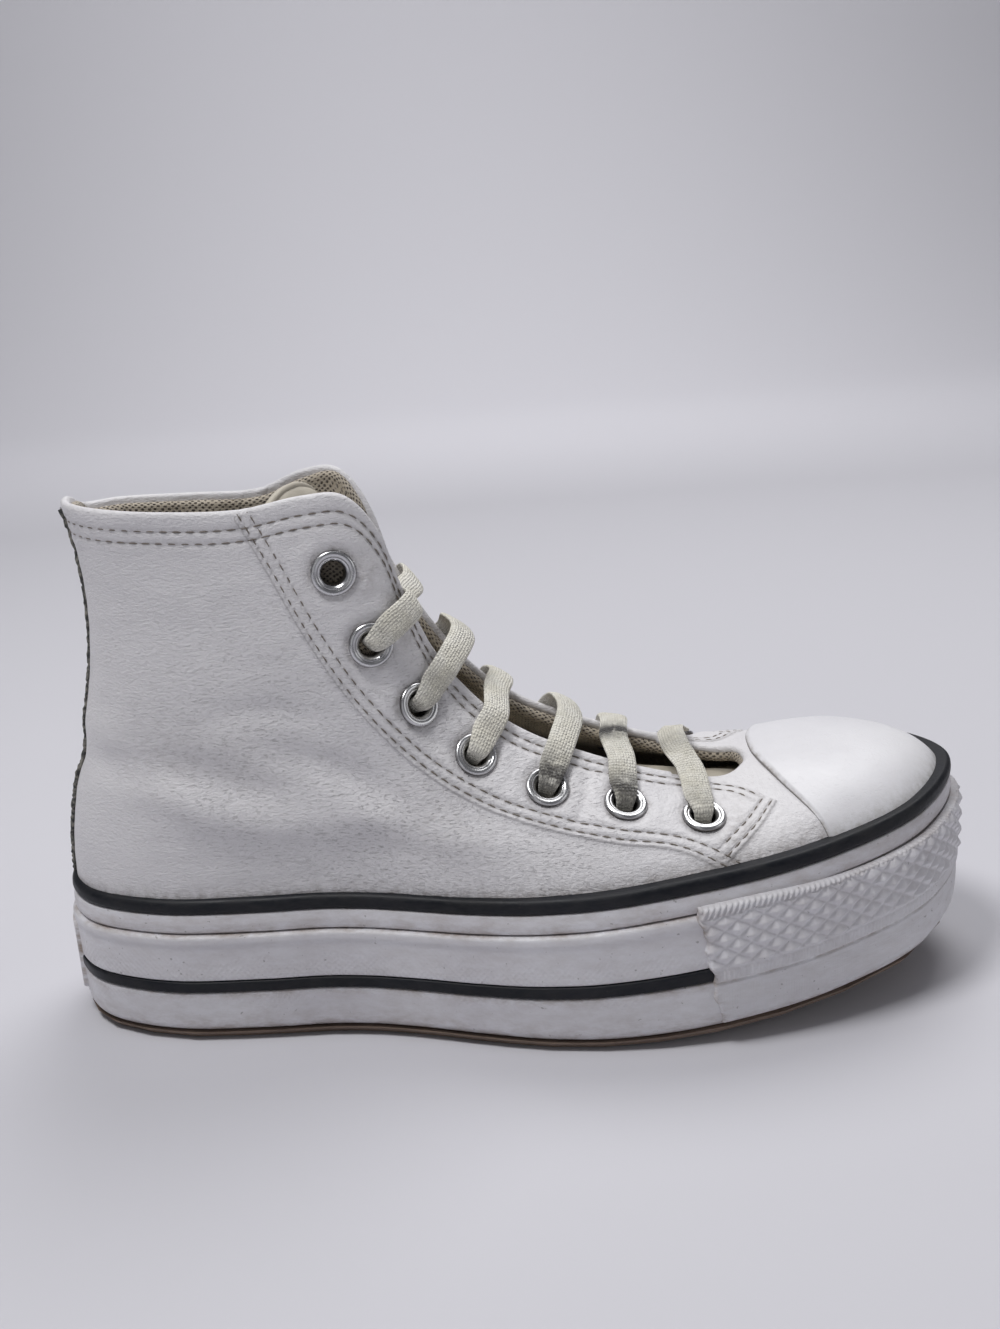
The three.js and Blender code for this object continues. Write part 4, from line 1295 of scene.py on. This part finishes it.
# Laces, bunched where they leave the eyelets. Cotton woven flat: cream, matt and a little fuzzy, in small loops.
def makeLace():
    material, add = newMaterial("creamWovenLace")
    place = add("TexCoord", out="Object")
    flat = add("Attribute", attribute_name="flatMm", out="Vector")
    darkening = add("Attribute", attribute_name="darkening", out="Fac")
    # loops of yarn about 0.7 mm apart are drawn at 0.9 mm, and the gaps between them are darkened with painted
    # shade
    loops = add("Mapping", scale=(1.25, 1.0, 1), vector=flat)
    loops = add("TexVoronoi", scale=1, randomness=0.35, vector=loops)
    tone = add("TexNoise", scale=160, detail=4, vector=place)
    base = add("ValToRGB", ramp=((0.35, "#e6e2d4"), (0.65, "#f7f4ea")), fac=tone)
    loopGapShade = add("MapRange", fromMin=0.4, fromMax=0.7, toMax=0.28, value=loops)
    color = add("Mix", data_type="RGBA", factor=loopGapShade, a=base, b="#a59f92")
    patches = add("TexNoise", scale=260, detail=4, roughness=0.7, vector=place)
    patches = add("MapRange", fromMin=0.25, fromMax=0.5, value=patches)
    darkPatches = add("Math", darkening, patches, operation="MULTIPLY")
    color = add("Mix", data_type="RGBA", factor=darkPatches, a=color, b="#33302f")
    height = add("MapRange", fromMin=0.6, fromMax=0.05, value=loops)
    bump = add("Bump", strength=0.85, distance=0.0006, height=height)
    fuzz = add("TexNoise", scale=1500, detail=3, vector=place)
    bump = add("Bump", strength=0.4, distance=0.0002, height=fuzz, normal=bump)
    add("OutputMaterial", add("BsdfPrincipled", baseColor=color, normal=bump, roughness=0.92, sheenWeight=0.3))
    return material


laceCotton = makeLace()
laces = {
    "bars": [  # crest over the throat, height over its edge, lean of the crest, soiling: outer foot, top
        {"crest": (105.5, 121.5), "over": 3.8, "lean": 1.2, "darkening": (0.15, 0)},
        {"crest": (118.5, 109), "over": 4.0, "lean": -1.5, "darkening": (0.25, 0.1)},
        {"crest": (129, 92), "over": 3.5, "lean": 0.8, "darkening": (0.1, 0)},
        {"crest": (148, 83), "over": 4.0, "lean": -0.5, "darkening": (0.9, 0.1)},
        {"crest": (161, 75.5), "over": 3.5, "lean": 0.6, "darkening": (0.9, 1)},
        {"crest": (178, 71), "over": 3.5, "lean": 0.0, "darkening": (0.3, 0.35)},
    ],
    "halfWidth": 4.0,
    "halfThick": 0.75,
    "lift": 2.5,
    "sides": 28,
}


def throatEdge(start, crest, side):  # where a line seen from the side, eyelet to crest, crosses the top line
    t = np.linspace(0.2, 0.5, 200) if side < 0 else np.linspace(0.5, 0.8, 200)
    points = ringAt(topRing, t)
    run = np.array([crest[0] - start[0], crest[1] - start[2]])
    reach = points[:, [0, 2]] - start[[0, 2]]
    ahead = reach @ run / np.linalg.norm(run)
    beside = np.abs(run[0] * reach[:, 1] - run[1] * reach[:, 0]) / np.linalg.norm(run)
    best = np.argmin(beside + 100 * (ahead < 0))
    return points[best], upperNormal(t[best], 0.97)


def buildLace(row):
    bar = laces["bars"][row - 1]
    crest = np.array([bar["crest"][0], form["topMiddle"], bar["crest"][1]])
    upright = unit(crest - (eyeletSpots[2 * row]["point"] + eyeletSpots[2 * row + 1]["point"]) / 2)
    stops = []
    for side in (-1, 1):
        spot = eyeletSpots[2 * row + (side > 0)]
        point, normal = spot["point"], spot["normal"]
        edge, edgeNormal = throatEdge(point, bar["crest"], side)
        run = edge - point
        run = unit(run - run @ normal * normal)
        half = [  # place, which way its face looks, width and thickness
            (point - 3.5 * normal, -run, 0.55, 1.5),
            (point - 0.6 * normal + 0.3 * run, -run, 0.6, 1.6),
            (point + laces["lift"] * normal * 0.75 + 1.1 * run, unit(normal - run), 0.72, 1.4),
            (point + laces["lift"] * normal + 4.2 * run, normal, 0.9, 1.15),
            (point + laces["lift"] * normal + 7.5 * run, normal, 1, 1),
            (edge + edgeNormal * bar["over"], unit(edgeNormal + 0.4 * upright), 1, 1),
            (crest + [bar["lean"] * side, side * 6.4, 0], upright, 1, 1),
        ]
        stops += [np.hstack(stop) for stop in half[::-side]]
    rows = curveThrough(stops, 0.5)
    path, face = rows[:, :3], rows[:, 3:6]
    tangent = unit(np.gradient(path, axis=0))
    face = unit(face - (face * tangent).sum(1, keepdims=True) * tangent)
    aside = np.cross(tangent, face)
    turn = circle(laces["sides"])
    wide = np.sign(np.cos(turn)) * np.abs(np.cos(turn)) ** 0.55
    thick = np.sign(np.sin(turn)) * np.abs(np.sin(turn)) ** 0.75
    width = laces["halfWidth"] * rows[:, 6:7] * (1 + 0.04 * noiseAt(path, 6, seed=row)[:, None])
    lift = laces["halfThick"] * rows[:, 7:8]
    # a slight cup across and a woven, uneven face
    cup = -0.35 * wide**2
    grid = path[:, None] + aside[:, None] * (width * wide)[..., None]
    grid = grid + face[:, None] * (lift * thick + cup * (rows[:, 6:7] > 0.95))[..., None]
    grid = grid + face[:, None] * (0.1 * noiseAt(grid, 1.6, seed=row * 3.3))[..., None]
    run = runOf(path)
    across = width * wide
    over = np.where(np.sin(turn) < 0, 20, 0)[None, :]
    flat = np.stack([across + over, np.tile(run[:, None], (1, len(turn)))], -1)
    foot, top = bar["darkening"]
    darkening = 0.05 + foot * bell(run - 8, 6) + top * bell(run - run[-1] * 0.45, 5)
    darkening = np.clip(np.tile(darkening[:, None], (1, len(turn))), 0, 1)
    gridPiece(
        f"lace{row + 1}", grid, laceCotton, closeRows=True, nodes=(f"lace_bar_{row + 1}",), slot="lace",
        values={"darkening": darkening}, flatMm=flat,
    )


for row in range(1, 7):
    buildLace(row)


# Eyelets: pressed steel with bright plating, dull in the dish, with painted shade at the flange's outer rim and
# down the bore
def makeSteel():
    material, add = newMaterial("nickelPlatedSteel")
    place = add("TexCoord", out="Object")
    darkening = add("Attribute", attribute_name="darkening", out="Fac")
    haze = add("TexNoise", scale=300, detail=5, roughness=0.6, vector=place)
    scratches = add("Mapping", scale=(1, 6, 1), rotation=(0.4, 0.2, 0.6), vector=place)
    scratches = add("TexNoise", scale=900, detail=2, vector=scratches)
    color = add("Mix", data_type="RGBA", factor=darkening, a="#d2d2d4", b="#48423d")
    rough = add("MapRange", toMin=0.16, toMax=0.4, value=haze)
    bump = add("Bump", strength=0.15, distance=0.0001, height=scratches)
    add("OutputMaterial", add("BsdfPrincipled", baseColor=color, roughness=rough, normal=bump, metallic=1))
    return material


steel = makeSteel()
eyeletProfile = [  # radius, height over the flange's underside, darkening: painted shade at the outer rim and down the bore, soil in the dish
    (5.9, -0.3, 1), (6.05, 0.2, 0.9), (6.0, 0.55, 0.6), (5.75, 0.9, 0.1), (5.35, 1.1, 0), (4.8, 1.05, 0.05),
    (4.45, 0.85, 0.35), (4.15, 0.88, 0.05), (3.75, 0.6, 0), (3.35, 0.1, 0.1), (3.15, -0.8, 0.5), (3.05, -4.0, 1),
]


def buildEyelets():
    profile = curveThrough(eyeletProfile, 0.16)
    turn = circle(64)
    for index, spot in enumerate(eyeletSpots):
        normal = spot["normal"]
        aside = unit(np.cross(normal, [0, 0, 1.0]))
        rise = np.cross(normal, aside)
        around = aside * np.cos(turn)[:, None] + rise * np.sin(turn)[:, None]
        grid = spot["point"] + around[:, None] * profile[None, :, :1] + normal * (profile[None, :, 1:2] + 0.6)
        side = "outer" if spot["side"] < 0 else "inner"
        number = index // 2 + 1
        darkening = np.clip(np.tile(profile[None, :, 2], (len(turn), 1)), 0, 1)
        gridPiece(
            f"eyelet{side.capitalize()}{number}", grid, steel, closeColumns=True, flip=True,
            nodes=(f"eyelet_{side}_{number}",), slot="eyelet_metal", values={"darkening": darkening},
        )


buildEyelets()
print("laces and eyelets")

# The tread keeps its own solid
bpy.data.objects["outsole"].data.materials[0] = treadRubber


# Sweep paper, uncoated: a pale, even floor without shine that runs up into a backdrop
def makeFloor():
    material, add = newMaterial("paleSweepPaper")
    place = add("TexCoord", out="Object")
    grain = add("TexNoise", scale=400, detail=3, vector=place)
    bump = add("Bump", strength=0.05, distance=0.0002, height=grain)
    add("OutputMaterial", add("BsdfPrincipled", normal=bump, baseColor="#cfced4", roughness=0.8))
    return material


def buildStage():
    bend = np.linspace(0, math.pi / 2, 24)
    y = np.concatenate([[-4], 1.2 + 0.9 * np.sin(bend), [2.1]])
    z = np.concatenate([[0], 0.9 * (1 - np.cos(bend)), [4]]) - 0.0003
    x = np.array([-4.0, 4.0])
    points = np.stack([np.tile(x[:, None], (1, len(y))), np.tile(y, (2, 1)), np.tile(z, (2, 1))], -1).reshape(-1, 3)
    mesh = bpy.data.meshes.new("floorSweep")
    mesh.from_pydata(points.tolist(), [], gridFaces(2, len(y)).tolist())
    mesh.polygons.foreach_set("use_smooth", np.ones(len(mesh.polygons), bool))
    mesh.materials.append(makeFloor())
    floor = bpy.data.objects.new("floorSweep", mesh)
    bpy.context.scene.collection.objects.link(floor)


def addLight(name, at, size, power, towards=(0, 0, 0.06)):
    data = bpy.data.lights.new(name, "AREA")
    data.shape, data.size, data.energy = "DISK", size, power
    obj = bpy.data.objects.new(name, data)
    obj.location = at
    obj.rotation_euler = (Vector(towards) - Vector(at)).to_track_quat("-Z", "Y").to_euler()
    bpy.context.scene.collection.objects.link(obj)


buildStage()
lights = {
    "keySoftbox": {"at": (-0.4, -0.26, 1.25), "size": 0.4, "power": 9},
    "backSoftbox": {"at": (0.25, 0.6, 1.2), "size": 0.9, "power": 8},
    "frontSoftbox": {"at": (-0.6, -1.4, 0.5), "size": 1.0, "power": 1.3},
    "rightSoftbox": {"at": (1.3, -0.4, 0.5), "size": 0.8, "power": 1.6},
    "wallSoftbox": {"at": (0, 0.9, 1.0), "size": 1.2, "power": 9, "towards": (0, 2.4, 0.7)},
}
for name, light in lights.items():
    addLight(name, **light)
world = bpy.data.worlds.new("studio")
world.use_nodes = True
sky = world.node_tree.nodes["Background"].inputs
sky["Color"].default_value = hexColor("#e6e7ee")
sky["Strength"].default_value = 0.17
bpy.context.scene.world = world
bpy.context.scene.view_settings.view_transform = "Standard"
addCamera()
print("stage and camera")
